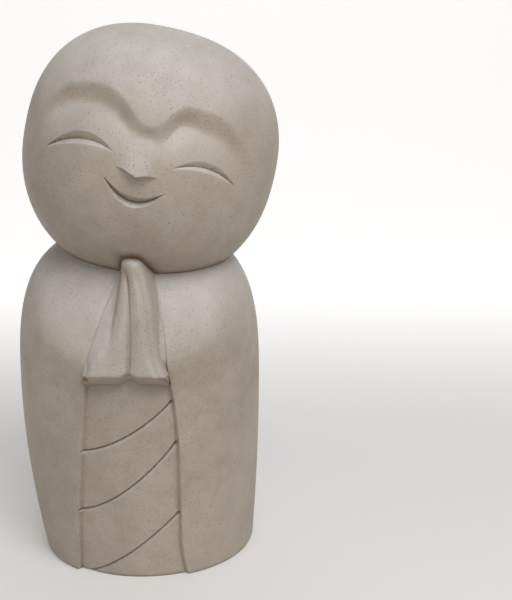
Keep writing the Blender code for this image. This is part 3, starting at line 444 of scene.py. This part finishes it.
def robe_relief(across, level):
    """Height of the robe's carving over the plain body."""
    inside = np.minimum(across - left_edge(level), right_edge(level) - across)
    beside_hands = smooth_ramp(0.0, PANEL_FADE, up_the_hands(level))
    full_depth = PANEL_DEPTH + (PANEL_DEPTH_AT_HANDS - PANEL_DEPTH) * beside_hands
    panel = np.clip(inside * PANEL_WALL_SLOPE, 0.0, full_depth)
    folds = fold_depth(across, level) * panel / full_depth
    outward = np.abs(across / BODY_HALF_WIDTH) ** FOREARM_SIDE_LIFT_BOW
    forearm_level = FOREARM_LEVEL + FOREARM_SIDE_LIFT * outward
    lower_fade = FOREARM_LOWER_FADE + (FOREARM_SIDE_LOWER_FADE - FOREARM_LOWER_FADE) * outward
    rise = smooth_ramp(forearm_level - lower_fade, forearm_level, level)
    fall = 1.0 - smooth_ramp(forearm_level, forearm_level + FOREARM_UPPER_FADE, level)
    side = 1.0 - smooth_ramp(FOREARM_SIDE_FADE, 1.0, np.abs(across) / BODY_HALF_WIDTH)
    below_hands = 1.0 - smooth_ramp(HAND_BOTTOM - FOREARM_PANEL_FADE, HAND_BOTTOM, level)
    beside_panel = 1.0 - below_hands * panel / full_depth
    inward = across - left_edge(level)
    line = smooth_ramp(-LEFT_CUFF_LINE_OUTER_WIDTH, 0.0, inward)
    line = np.minimum(line, 1.0 - inward / LEFT_CUFF_LINE_INNER_WIDTH)
    line = LEFT_CUFF_LINE_DEPTH * beside_hands * np.clip(line, 0.0, None)
    return FOREARM_RISE * rise * fall * side * beside_panel - panel - folds - line


def body_form(points):
    """Signed distance-like value of the robed body, without the hands."""
    level = points[..., 2]
    above = np.clip(level - BODY_WIDEST_LEVEL, 0.0, None)
    below = np.clip((BODY_WIDEST_LEVEL - level) / BODY_WIDEST_LEVEL, 0.0, None) ** FOOT_TAPER_BOW
    across = points[..., 0] - BODY_SIDE_SHIFT - FOOT_SIDE_SHIFT * below
    along = points[..., 1] - FOOT_BACK_SHIFT * below
    half_width = BODY_HALF_WIDTH - FOOT_TAPER * below
    up_the_shoulders = np.clip(above / (SHOULDER_TOP - BODY_WIDEST_LEVEL), 0.0, 1.0)
    chest = BODY_HALF_DEPTH - CHEST_LEAN * up_the_shoulders ** 2
    back = BODY_HALF_DEPTH - FOOT_BACK_SHIFT * below
    half_depth = np.where(along < 0.0, chest, back)
    plan = (np.abs(across / half_width) ** BODY_PLAN_SQUARENESS
            + np.abs(along / half_depth) ** BODY_PLAN_SQUARENESS)
    plan = plan ** (SHOULDER_SQUARENESS / BODY_PLAN_SQUARENESS)
    dome = (above / (SHOULDER_TOP - BODY_WIDEST_LEVEL)) ** SHOULDER_SQUARENESS
    size = (plan + dome) ** (1.0 / SHOULDER_SQUARENESS)
    reach = np.sqrt(across ** 2 + along ** 2 + above ** 2)
    distance = reach * (1.0 - 1.0 / np.maximum(size, LEAST_SIZE))
    front = smooth_ramp(CARVING_FADE_START, CARVING_FADE_END, -along)
    return distance - front * robe_relief(points[..., 0], level)


def palms_form(points):
    """Signed distance-like value of the two palms, open at the back and below."""
    across, level = points[..., 0], points[..., 2]
    down = 1.0 - up_the_hands(level)
    front = palms_front(points, down)
    steeper = (1.0 - down) ** PALM_SIDE_SLOPE_BOW
    right_slope = RIGHT_PALM_SIDE_SLOPE + RIGHT_PALM_SIDE_TOP_SLOPE * steeper
    right_slope = right_slope + RIGHT_PALM_SIDE_HEEL_SLOPE * down ** PALM_HEEL_BOW
    left_slope = LEFT_PALM_SIDE_SLOPE + LEFT_PALM_SIDE_TOP_SLOPE * steeper
    right_side = front + (across - right_palm_edge(down)) * right_slope
    left_side = front + (left_palm_edge(down) - across) * left_slope
    palms = front + palm_hollows(across, down)
    palms = trimmed(palms, right_side / np.hypot(1.0, right_slope), RIGHT_PALM_ROUND_OVER)
    return trimmed(palms, left_side / np.hypot(1.0, left_slope), LEFT_PALM_ROUND_OVER)


def palms_front(points, down):
    """How far a point lies in front of the plane that the palms' fronts share."""
    reach = HAND_TOP_REACH + (HAND_BOTTOM_REACH - HAND_TOP_REACH) * down
    return -points[..., 1] - reach


def palm_line(down):
    """Where the groove between the palms runs."""
    lean = PALM_LINE_LEAN * (1.0 - down) ** PALM_LINE_BOW
    return PALM_LINE_OFFSET - lean - PALM_LINE_HEEL * down ** PALM_HEEL_BOW


def left_palm_edge(down):
    """Where the left palm's outer edge runs."""
    return LEFT_PALM_TOP_EDGE + LEFT_PALM_SPREAD * down ** 2


def right_palm_edge(down):
    """Where the right palm's outer edge runs."""
    spread = RIGHT_PALM_SPREAD * (1.0 - (1.0 - down) ** RIGHT_PALM_BOW)
    return RIGHT_PALM_TOP_EDGE + spread + RIGHT_PALM_HEEL * down ** PALM_HEEL_BOW


def palm_hollows(across, down):
    """Depth of the groove between the palms and of the valley along each one's outer edge."""
    off_line = np.abs(across - palm_line(down))
    groove = PALM_GROOVE_DEPTH * np.clip(1.0 - off_line / PALM_GROOVE_HALF_WIDTH, 0.0, None)
    groove = groove + PALM_VALLEY_DEPTH * np.exp(-(off_line / PALM_VALLEY_WIDTH) ** 2)
    off_left = across - left_palm_edge(down)
    left_valley = LEFT_VALLEY_DEPTH * np.exp(-(off_left / LEFT_VALLEY_WIDTH) ** 2)
    left_valley = left_valley * (1.0 - smooth_ramp(*LEFT_VALLEY_FADE, down))
    off_right = across - right_palm_edge(down) + RIGHT_VALLEY_OFFSET
    right_valley = RIGHT_VALLEY_DEPTH * np.exp(-(off_right / RIGHT_VALLEY_WIDTH) ** 2)
    return (groove + right_valley) * smooth_ramp(*PALM_HOLLOW_FADE, down) + left_valley


def cuff_form(points, robe):
    """Signed distance-like value of the left cuff, which rises from the robe to the palms."""
    across, level = points[..., 0], points[..., 2]
    down = 1.0 - up_the_hands(level)
    heel = down ** PALM_HEEL_BOW
    inward = across - left_edge(level) + LEFT_CUFF_OVERLAP * heel
    slope = LEFT_CUFF_SLOPE + LEFT_CUFF_TOP_SLOPE * (1.0 - down) ** LEFT_CUFF_SLOPE_BOW
    slope = slope + LEFT_CUFF_HEEL_SLOPE * heel
    side = (robe - inward * slope) / np.hypot(1.0, slope)
    step = LEFT_PALM_STEP * (1.0 - smooth_ramp(*LEFT_PALM_STEP_FADE, down))
    front = palms_front(points, down) + step
    cuff = trimmed(front + palm_hollows(across, down), side, HAND_EDGE_RADIUS)
    return trimmed(cuff, across - palm_line(down), HAND_EDGE_RADIUS)


def hands_form(points, robe):
    """Signed distance-like value of the pressed palms and the left cuff beside them."""
    across, level = points[..., 0], points[..., 2]
    down = 1.0 - up_the_hands(level)
    hands = joined(palms_form(points), cuff_form(points, robe), HAND_FILLET)
    notch = NOTCH_HEIGHT * np.exp(-((across - palm_line(1.0)) / NOTCH_WIDTH) ** 2)
    underside = HAND_BOTTOM + notch + palms_front(points, down) * HAND_UNDERSIDE_SLOPE - level
    underside = underside / math.hypot(1.0, HAND_UNDERSIDE_SLOPE)
    hands = trimmed(hands, underside, HAND_UNDERSIDE_RADIUS)
    hands = trimmed(hands, level - HAND_TOP, HAND_TOP_RADIUS)
    return np.maximum(hands, points[..., 1])


def statue_form(points):
    """Signed distance-like value of the whole statue, with its underside below the cut."""
    robe = body_form(points)
    low = smooth_ramp(*HAND_SIDE_FILLET_FADE, 1.0 - up_the_hands(points[..., 2]))
    fillet = HAND_SIDE_FILLET + (HAND_FILLET - HAND_SIDE_FILLET) * low
    body = joined(robe, hands_form(points, robe), fillet)
    body = trimmed(body, -CUT_MARGIN - points[..., 2], FOOT_EDGE_RADIUS)
    return joined(head_form(points), body, NECK_FILLET)


def rays(units):
    """Start point and direction of the ray that each point of the unit sphere stands for.

    The middle of the sphere stands for the body, with level rays out of an upright spine.
    Its two ends stand for the crown and the foot, with rays that fan out.
    """
    share = np.clip(units[:, 2], -FAN_START, FAN_START)
    spine_share = 0.5 + 0.5 * share / FAN_START
    starts = np.zeros_like(units)
    starts[:, 0] = HEAD_CENTRE[0] * spine_share ** 2
    starts[:, 2] = SPINE_FOOT + (HEAD_CENTRE[2] - SPINE_FOOT) * spine_share
    fan = (np.abs(units[:, 2]) - FAN_START) / (1.0 - FAN_START)
    elevation = np.sign(units[:, 2]) * np.clip(fan, 0.0, 1.0) * 0.5 * math.pi
    flat = np.hypot(units[:, 0], units[:, 1])
    flat = np.where(flat < LEAST_REACH, 1.0, flat)
    directions = np.empty_like(units)
    directions[:, 0] = units[:, 0] / flat * np.cos(elevation)
    directions[:, 1] = units[:, 1] / flat * np.cos(elevation)
    directions[:, 2] = np.sin(elevation)
    return starts, directions


def on_surface(units):
    """The outermost point of the statue on each ray."""
    starts, directions = rays(units)
    inner = np.zeros(len(units))
    found = np.zeros(len(units), dtype=bool)
    for step in range(SEARCH_STEPS, 0, -1):
        reach = FARTHEST * step / SEARCH_STEPS
        solid = statue_form(starts + directions * reach) < 0.0
        newly = solid & ~found
        inner[newly] = reach
        found |= newly
    outer = inner + FARTHEST / SEARCH_STEPS
    for _ in range(HALVINGS):
        middle = 0.5 * (inner + outer)
        solid = statue_form(starts + directions * middle[:, None]) < 0.0
        inner = np.where(solid, middle, inner)
        outer = np.where(solid, outer, middle)
    return starts + directions * inner[:, None]


def place(vertices, spot):
    """Moves vertices out to the unit sphere and stores each one's spot on the statue."""
    units = np.array([vertex.co.normalized()[:] for vertex in vertices])
    for vertex, unit, surface_point in zip(vertices, units, on_surface(units)):
        vertex.co = Vector(unit)
        vertex[spot] = Vector(surface_point)


def refine(bm, spot, tolerance, shortest):
    """Splits the edges whose chord leaves the statue's surface by more than the tolerance."""
    bm.verts.index_update()
    bm.edges.index_update()
    placed = np.array([vertex[spot][:] for vertex in bm.verts])
    ends = np.array([[edge.verts[0].index, edge.verts[1].index] for edge in bm.edges])
    first, second = placed[ends[:, 0]], placed[ends[:, 1]]
    off_surface = np.zeros(len(ends))
    for share in EDGE_SHARES:
        gap = np.abs(statue_form(first + (second - first) * share))
        off_surface = np.maximum(off_surface, gap)
    lengths = np.linalg.norm(second - first, axis=1)
    chosen = (off_surface > tolerance) & (lengths > shortest)
    face_edges = np.array([[edge.index for edge in face.edges] for face in bm.faces])
    longest = face_edges[np.arange(len(face_edges)), lengths[face_edges].argmax(axis=1)]
    chosen[longest[chosen[face_edges].any(axis=1)]] = True
    split = [edge for edge, wanted in zip(bm.edges, chosen) if wanted]
    made = bmesh.ops.subdivide_edges(bm, edges=split, cuts=1)["geom_inner"]
    place([item for item in made if isinstance(item, bmesh.types.BMVert)], spot)
    bmesh.ops.triangulate(bm, faces=bm.faces)


def statue_surface():
    """The statue's surface as a fine mesh, closed, with its underside below the cut."""
    bm = bmesh.new()
    spot = bm.verts.layers.float_vector.new("spot")
    bmesh.ops.create_uvsphere(bm, u_segments=START_SEGMENTS, v_segments=START_RINGS, radius=1.0)
    bmesh.ops.triangulate(bm, faces=bm.faces)
    place(bm.verts, spot)
    for _ in range(REFINING_PASSES):
        refine(bm, spot, SURFACE_TOLERANCE, SHORTEST_EDGE)
    for vertex in bm.verts:
        vertex.co = vertex[spot]
    bm.verts.layers.float_vector.remove(spot)
    mesh = bpy.data.meshes.new("statue_surface")
    bm.to_mesh(mesh)
    bm.free()
    return mesh


def cut_flat(mesh):
    """Cuts the mesh off level at the ground and closes its underside."""
    bm = bmesh.new()
    bm.from_mesh(mesh)
    everything = bm.verts[:] + bm.edges[:] + bm.faces[:]
    cut = bmesh.ops.bisect_plane(bm, geom=everything, dist=LEAST_SIZE, plane_co=(0.0, 0.0, 0.0),
                                 plane_no=(0.0, 0.0, -1.0), clear_outer=True)
    rim = [item for item in cut["geom_cut"] if isinstance(item, bmesh.types.BMEdge)]
    bmesh.ops.contextual_create(bm, geom=rim)
    bmesh.ops.triangulate(bm, faces=bm.faces)
    bmesh.ops.recalc_face_normals(bm, faces=bm.faces)
    bm.to_mesh(mesh)
    bm.free()


# Stone colours, linear: painted light, lighter where it faces up, and painted shade, browner where
# it hangs over or stands low
STONE_PAINTED_LIT_LIGHT = (0.615, 0.578, 0.548, 1.0)
STONE_PAINTED_LIT_DARK = (0.472, 0.434, 0.398, 1.0)
STONE_PAINTED_SHADE_LIGHT = (0.505, 0.430, 0.356, 1.0)
STONE_PAINTED_SHADE_DARK = (0.358, 0.296, 0.236, 1.0)
# Painted shade laid into hollows and under overhangs
STONE_HOLLOW_SHADE = (0.150, 0.088, 0.046, 1.0)
PORE_COLOUR = (0.070, 0.050, 0.035, 1.0)
PORE_STRENGTH = 0.80

# Patterns of the stone: noise scale to a metre, its detail and roughness, and the two values of
# the noise between which the pattern goes from 0 to 1, or from the sixth number to the seventh
CLOUDS = (7.0, 3.0, 0.55, 0.35, 0.65)
MOTTLES = (45.0, 4.0, 0.60, 0.30, 0.70)
GRAINS = (900.0, 2.0, 0.60, 0.30, 0.70)
TONE_PATCHES = (16.0, 3.0, 0.60, 0.20, 0.80, -0.14, 0.14)
PORE_CLUSTERS = (22.0, 2.0, 0.50, 0.35, 0.65, 0.70, 1.0)

# What each pattern has of the stone's shade
CLOUD_SHARE = 0.40
MOTTLE_SHARE = 0.30
GRAIN_SHARE = 0.30

# Gloss of the darkest and of the lightest stone, and how deep pores and grain are
ROUGHNESS_DARK = 0.66
ROUGHNESS_LIGHT = 0.52
GRAIN_RELIEF = 0.35
RELIEF_STRENGTH = 0.35
RELIEF_DISTANCE = 0.0006

# Painted light: which way the surface faces where the lit colour starts, and where it is full
PAINTED_LIGHT_START = -0.12
PAINTED_LIGHT_END = 0.78

# Painted shade, darker towards the bottom: the level up to which it reaches, and how much
LOW_SHADE_LEVEL = 0.3000 * STATUE_HEIGHT
LOW_SHADE_SHARE = 0.35

# Pores: cells to a metre, a pore's radius in its cell from sharp to soft, and the share left out,
# with the span of chance over which a pore fades in
PORE_SIZES = ((105.0, 0.050, 0.090, 0.88), (240.0, 0.090, 0.150, 0.74), (480.0, 0.150, 0.250, 0.55))
PORE_FADE = 0.05

# How far over the surface the stone is sounded for hollows, and the painted shade in them
HOLLOW_REACHES = (
    (0.0040 * STATUE_HEIGHT, 0.30),
    (0.0100 * STATUE_HEIGHT, 0.26),
    (0.0250 * STATUE_HEIGHT, 0.12),
)

# The painted shade in hollows is weaker where they face up and stronger below an overhang, and
# undersides get painted shade of their own; each pair of slopes is where that starts and ends
UP_FACING_SLOPES = (-0.1, 0.4)
HOLLOW_SHADE_FULL = 1.1
UP_FACING_LOSS = 0.9
OVERHANG_SLOPES = (-0.1, 0.5)
OVERHANG_GAIN = 1.8
UNDERSIDE_SLOPES = (0.2, 1.0)
UNDERSIDE_SHADE = 0.30

# Backdrop, and how much it glows on the floor and, further back, up the wall
SWEEP_FRONT = 8.0 * STATUE_HEIGHT
SWEEP_DISTANCE = 3.0 * STATUE_HEIGHT
SWEEP_RADIUS = 2.0 * STATUE_HEIGHT
SWEEP_WALL_TOP = 5.0 * STATUE_HEIGHT
SWEEP_HALF_WIDTH = 6.0 * STATUE_HEIGHT
SWEEP_STEPS = 24
GLOW_START = 0.3 * STATUE_HEIGHT
GLOW_END = 2.6 * STATUE_HEIGHT
FLOOR_GLOW = 0.17
WALL_GLOW = 0.61
PAPER_COLOUR = (0.66, 0.65, 0.64, 1.0)
PAPER_ROUGHNESS = 0.9
PAPER_GLOW_COLOUR = (1.0, 1.0, 1.0, 1.0)

# Light from all round, and two soft lights: place, target and side length as shares of the
# height, power in watts and colour
WORLD_HORIZON = 0.09
WORLD_ZENITH = 0.40
WORLD_COLOUR = (1.0, 0.975, 0.94, 1.0)
KEY_LIGHT = ((1.25, -2.35, 3.62), (0.0, 0.0, 0.60), 2.2, 38.0, (0.985, 0.99, 1.0))
FILL_LIGHT = ((-1.70, -3.40, 1.30), (0.0, 0.0, 0.50), 3.0, 4.0, (1.0, 0.985, 0.96))

# Camera: it stands a little to the right and above, and looks down at the figure. It is turned
# until the spine's foot falls in its column of the picture.
CAMERA_AZIMUTH = math.radians(8.5)
CAMERA_PITCH = math.radians(12.1)
CAMERA_DISTANCE = 1.7083 * STATUE_HEIGHT
CAMERA_LEVEL = 0.8533 * STATUE_HEIGHT
CAMERA_LENS = 54.0
CAMERA_SENSOR = 36.0
PICTURE_SIZE = (512, 600)
SPINE_COLUMN = 148.0
SPINE_LEVEL = 0.0833 * STATUE_HEIGHT
HEADING_LIMIT = math.radians(30.0)
HEADING_HALVINGS = 60


class Tree:
    """Adds nodes to one material and links them."""

    def __init__(self, material):
        self.nodes = material.node_tree.nodes
        self.links = material.node_tree.links

    def add(self, kind, **settings):
        """A new node with its settings."""
        node = self.nodes.new(kind)
        for name, value in settings.items():
            setattr(node, name, value)
        return node

    def feed(self, target, value):
        """Links an output to an input, or sets the input's own value."""
        if isinstance(value, bpy.types.NodeSocket):
            self.links.new(value, target)
        else:
            target.default_value = value

    def noise(self, vector, scale, detail, roughness):
        """Cloudy noise in space."""
        node = self.add("ShaderNodeTexNoise")
        self.feed(node.inputs["Vector"], vector)
        self.feed(node.inputs["Scale"], scale)
        self.feed(node.inputs["Detail"], detail)
        self.feed(node.inputs["Roughness"], roughness)
        return node.outputs["Fac"]

    def ramp(self, value, low, high, to_low=0.0, to_high=1.0):
        """Goes smoothly from to_low at low to to_high at high."""
        node = self.add("ShaderNodeMapRange", clamp=True, interpolation_type="SMOOTHSTEP")
        self.feed(node.inputs["Value"], value)
        self.feed(node.inputs["From Min"], low)
        self.feed(node.inputs["From Max"], high)
        self.feed(node.inputs["To Min"], to_low)
        self.feed(node.inputs["To Max"], to_high)
        return node.outputs["Result"]

    def pattern(self, vector, scale, detail, roughness, low, high, to_low=0.0, to_high=1.0):
        """Noise that goes smoothly from to_low, where it is low, to to_high."""
        return self.ramp(self.noise(vector, scale, detail, roughness), low, high, to_low, to_high)

    def work_out(self, operation, first, second):
        """One step of arithmetic on two values."""
        node = self.add("ShaderNodeMath", operation=operation)
        self.feed(node.inputs[0], first)
        self.feed(node.inputs[1], second)
        return node.outputs["Value"]

    def mix(self, share, first, second):
        """The first colour at share 0, the second at 1; the sockets are those of colours."""
        node = self.add("ShaderNodeMix", data_type="RGBA")
        self.feed(node.inputs[0], share)
        self.feed(node.inputs[6], first)
        self.feed(node.inputs[7], second)
        return node.outputs[2]


def pinholes(tree, place_in_stone):
    """1 in the dark pinhole pores of all sizes and 0 elsewhere."""
    cluster = tree.pattern(place_in_stone, *PORE_CLUSTERS)
    pores = None
    for scale, sharp, soft, left_out in PORE_SIZES:
        cells = tree.add("ShaderNodeTexVoronoi", feature="F1")
        tree.feed(cells.inputs["Vector"], place_in_stone)
        tree.feed(cells.inputs["Scale"], scale)
        near = tree.ramp(cells.outputs["Distance"], sharp, soft, 1.0, 0.0)
        chance = tree.add("ShaderNodeSeparateColor")
        tree.feed(chance.inputs["Color"], cells.outputs["Color"])
        here = tree.work_out("MULTIPLY", chance.outputs[0], cluster)
        here = tree.ramp(here, left_out, left_out + PORE_FADE)
        these = tree.work_out("MULTIPLY", near, here)
        pores = these if pores is None else tree.work_out("MAXIMUM", pores, these)
    return pores


def stone_material():
    """Cast stone: mottled grey-beige with dark pores, painted light where it faces up, painted shade
    in hollows, undersides and low down.
    """
    material = bpy.data.materials.new("cast stone")
    material.use_nodes = True
    tree = Tree(material)
    shader = material.node_tree.nodes["Principled BSDF"]
    place_in_stone = tree.add("ShaderNodeTexCoord").outputs["Object"]

    grain = tree.pattern(place_in_stone, *GRAINS)
    shade = tree.work_out("MULTIPLY", tree.pattern(place_in_stone, *CLOUDS), CLOUD_SHARE)
    mottle = tree.work_out("MULTIPLY", tree.pattern(place_in_stone, *MOTTLES), MOTTLE_SHARE)
    shade = tree.work_out("ADD", shade, mottle)
    shade = tree.work_out("ADD", shade, tree.work_out("MULTIPLY", grain, GRAIN_SHARE))
    # Painted light and shade: a lit and a shaded copy of the stone, mixed below by which way the
    # surface faces
    painted_lit_stone = tree.mix(shade, STONE_PAINTED_LIT_DARK, STONE_PAINTED_LIT_LIGHT)
    painted_shade_stone = tree.mix(shade, STONE_PAINTED_SHADE_DARK, STONE_PAINTED_SHADE_LIGHT)
    patchy = tree.pattern(place_in_stone, *TONE_PATCHES)
    painted_light_share = tree.add("ShaderNodeAttribute", attribute_name="painted_light_share").outputs["Fac"]
    colour = tree.mix(tree.work_out("ADD", painted_light_share, patchy), painted_shade_stone, painted_lit_stone)
    # Painted shade: a dark brown laid into hollows and under overhangs
    hollow_shade = tree.add("ShaderNodeAttribute", attribute_name="hollow_shade").outputs["Fac"]
    colour = tree.mix(hollow_shade, colour, STONE_HOLLOW_SHADE)

    pores = pinholes(tree, place_in_stone)
    colour = tree.mix(tree.work_out("MULTIPLY", pores, PORE_STRENGTH), colour, PORE_COLOUR)
    tree.feed(shader.inputs["Base Color"], colour)
    gloss = tree.ramp(shade, 0.0, 1.0, ROUGHNESS_DARK, ROUGHNESS_LIGHT)
    tree.feed(shader.inputs["Roughness"], gloss)
    shader.inputs["Metallic"].default_value = 0.0

    height = tree.work_out("MULTIPLY", pores, -1.0)
    height = tree.work_out("ADD", height, tree.work_out("MULTIPLY", grain, GRAIN_RELIEF))
    bump = tree.add("ShaderNodeBump")
    bump.inputs["Strength"].default_value = RELIEF_STRENGTH
    bump.inputs["Distance"].default_value = RELIEF_DISTANCE
    tree.feed(bump.inputs["Height"], height)
    tree.feed(shader.inputs["Normal"], bump.outputs["Normal"])
    return material


def painted_shading(mesh):
    """Shares at each vertex of painted shade in hollows and undersides, and of painted light where
    the stone faces up, less low down.
    """
    count = len(mesh.vertices)
    spots = np.empty(count * 3)
    normals = np.empty(count * 3)
    mesh.vertices.foreach_get("co", spots)
    mesh.vertex_normals.foreach_get("vector", normals)
    spots = spots.reshape(-1, 3)
    normals = normals.reshape(-1, 3)
    # Painted shade in the hollows, strongest where they face down
    hollow_shade = np.zeros(count)
    for reach, share in HOLLOW_REACHES:
        ahead = statue_form(spots + normals * reach)
        hollow_shade += share * (1.0 - np.clip(ahead / reach, 0.0, 1.0))
    facing_weight = HOLLOW_SHADE_FULL - UP_FACING_LOSS * smooth_ramp(*UP_FACING_SLOPES, normals[:, 2])
    overhung = OVERHANG_GAIN * smooth_ramp(*OVERHANG_SLOPES, -normals[:, 2])
    underside = UNDERSIDE_SHADE * smooth_ramp(*UNDERSIDE_SLOPES, -normals[:, 2])
    hollow_shade = np.clip(hollow_shade * facing_weight + hollow_shade * overhung + underside, 0.0, 1.0)
    # Painted light where the surface faces up, with painted shade taking it down towards the foot
    painted_light_share = smooth_ramp(PAINTED_LIGHT_START, PAINTED_LIGHT_END, normals[:, 2])
    low_shade = 1.0 - smooth_ramp(0.0, LOW_SHADE_LEVEL, spots[:, 2])
    return hollow_shade, painted_light_share - LOW_SHADE_SHARE * low_shade


def figure():
    """The carved figure as one fine piece."""
    mesh = statue_surface()
    cut_flat(mesh)
    mesh.name = "statue"
    mesh.shade_smooth()
    # Painted shade and painted light, stored on the vertices for the stone's colour
    for name, shares in zip(("hollow_shade", "painted_light_share"), painted_shading(mesh)):
        mesh.attributes.new(name, "FLOAT", "POINT").data.foreach_set("value", shares)
    mesh.materials.append(stone_material())
    piece = bpy.data.objects.new("statue", mesh)
    bpy.context.scene.collection.objects.link(piece)
    return piece


def backdrop_material():
    """Near-white paper, with a faint glow of its own that grows up the wall."""
    material = bpy.data.materials.new("pale paper")
    material.use_nodes = True
    tree = Tree(material)
    shader = material.node_tree.nodes["Principled BSDF"]
    shader.inputs["Base Color"].default_value = PAPER_COLOUR
    shader.inputs["Roughness"].default_value = PAPER_ROUGHNESS
    shader.inputs["Emission Color"].default_value = PAPER_GLOW_COLOUR
    parts = tree.add("ShaderNodeSeparateXYZ")
    tree.feed(parts.inputs["Vector"], tree.add("ShaderNodeTexCoord").outputs["Object"])
    glow = tree.ramp(parts.outputs["Y"], GLOW_START, GLOW_END, FLOOR_GLOW, WALL_GLOW)
    tree.feed(shader.inputs["Emission Strength"], glow)
    return material


def backdrop():
    """A pale floor that curves up into a wall behind the statue."""
    profile = [(-SWEEP_FRONT, 0.0)]
    for step in range(SWEEP_STEPS + 1):
        angle = 0.5 * math.pi * step / SWEEP_STEPS
        profile.append((SWEEP_DISTANCE + SWEEP_RADIUS * math.sin(angle),
                        SWEEP_RADIUS * (1.0 - math.cos(angle))))
    profile.append((SWEEP_DISTANCE + SWEEP_RADIUS, SWEEP_WALL_TOP))
    bm = bmesh.new()
    rows = []
    for along, level in profile:
        ends = (-SWEEP_HALF_WIDTH, SWEEP_HALF_WIDTH)
        rows.append([bm.verts.new((across, along, level)) for across in ends])
    for near, far in zip(rows, rows[1:]):
        bm.faces.new((near[0], near[1], far[1], far[0]))
    mesh = bpy.data.meshes.new("backdrop")
    bm.to_mesh(mesh)
    bm.free()
    mesh.shade_smooth()
    mesh.materials.append(backdrop_material())
    piece = bpy.data.objects.new("backdrop", mesh)
    bpy.context.scene.collection.objects.link(piece)


def soft_light(name, place_share, target_share, size_share, power, colour):
    """A square soft light, aimed at a point."""
    data = bpy.data.lights.new(name, "AREA")
    data.size = size_share * STATUE_HEIGHT
    data.energy = power
    data.color = colour
    light = bpy.data.objects.new(name, data)
    place_at = Vector(place_share) * STATUE_HEIGHT
    target = Vector(target_share) * STATUE_HEIGHT
    light.location = place_at
    light.rotation_mode = "QUATERNION"
    light.rotation_quaternion = (target - place_at).to_track_quat("-Z", "Y")
    bpy.context.scene.collection.objects.link(light)


def surroundings():
    """Soft light from all round, stronger from overhead."""
    world = bpy.data.worlds.new("studio")
    bpy.context.scene.world = world
    world.use_nodes = True
    nodes, links = world.node_tree.nodes, world.node_tree.links
    parts = nodes.new("ShaderNodeSeparateXYZ")
    links.new(nodes.new("ShaderNodeTexCoord").outputs["Generated"], parts.inputs["Vector"])
    rise = nodes.new("ShaderNodeMapRange")
    rise.interpolation_type = "SMOOTHSTEP"
    rise.inputs["From Min"].default_value = 0.0
    rise.inputs["From Max"].default_value = 1.0
    rise.inputs["To Min"].default_value = WORLD_HORIZON
    rise.inputs["To Max"].default_value = WORLD_ZENITH
    links.new(parts.outputs["Z"], rise.inputs["Value"])
    background = nodes["Background"]
    background.inputs["Color"].default_value = WORLD_COLOUR
    links.new(rise.outputs["Result"], background.inputs["Strength"])


def camera():
    """The camera, with the spine's foot in its column of the picture."""
    data = bpy.data.cameras.new("camera")
    data.lens = CAMERA_LENS
    data.sensor_width = CAMERA_SENSOR
    place_at = Vector((CAMERA_DISTANCE * math.sin(CAMERA_AZIMUTH),
                       -CAMERA_DISTANCE * math.cos(CAMERA_AZIMUTH), CAMERA_LEVEL))
    focal = CAMERA_LENS / CAMERA_SENSOR * max(PICTURE_SIZE)
    wanted = (SPINE_COLUMN - 0.5 * PICTURE_SIZE[0]) / focal
    low, high = -HEADING_LIMIT, HEADING_LIMIT
    for _ in range(HEADING_HALVINGS):
        heading = 0.5 * (low + high)
        forward = Vector((math.sin(heading) * math.cos(CAMERA_PITCH),
                          math.cos(heading) * math.cos(CAMERA_PITCH), -math.sin(CAMERA_PITCH)))
        right = Vector((math.cos(heading), -math.sin(heading), 0.0))
        to_spine = Vector((0.0, 0.0, SPINE_LEVEL)) - place_at
        column = to_spine.dot(right) / to_spine.dot(forward)
        if column > wanted:
            low = heading
        else:
            high = heading
    up = right.cross(forward)
    turn = Matrix((right, up, -forward)).transposed()
    eye = bpy.data.objects.new("camera", data)
    eye.matrix_world = Matrix.Translation(place_at) @ turn.to_4x4()
    bpy.context.scene.collection.objects.link(eye)
    bpy.context.scene.camera = eye


statue = figure()
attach(statue, "root")
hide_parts("jizo_statue")
backdrop()
soft_light("key light", *KEY_LIGHT)
soft_light("fill light", *FILL_LIGHT)
surroundings()
camera()
bpy.context.scene.view_settings.view_transform = "Standard"
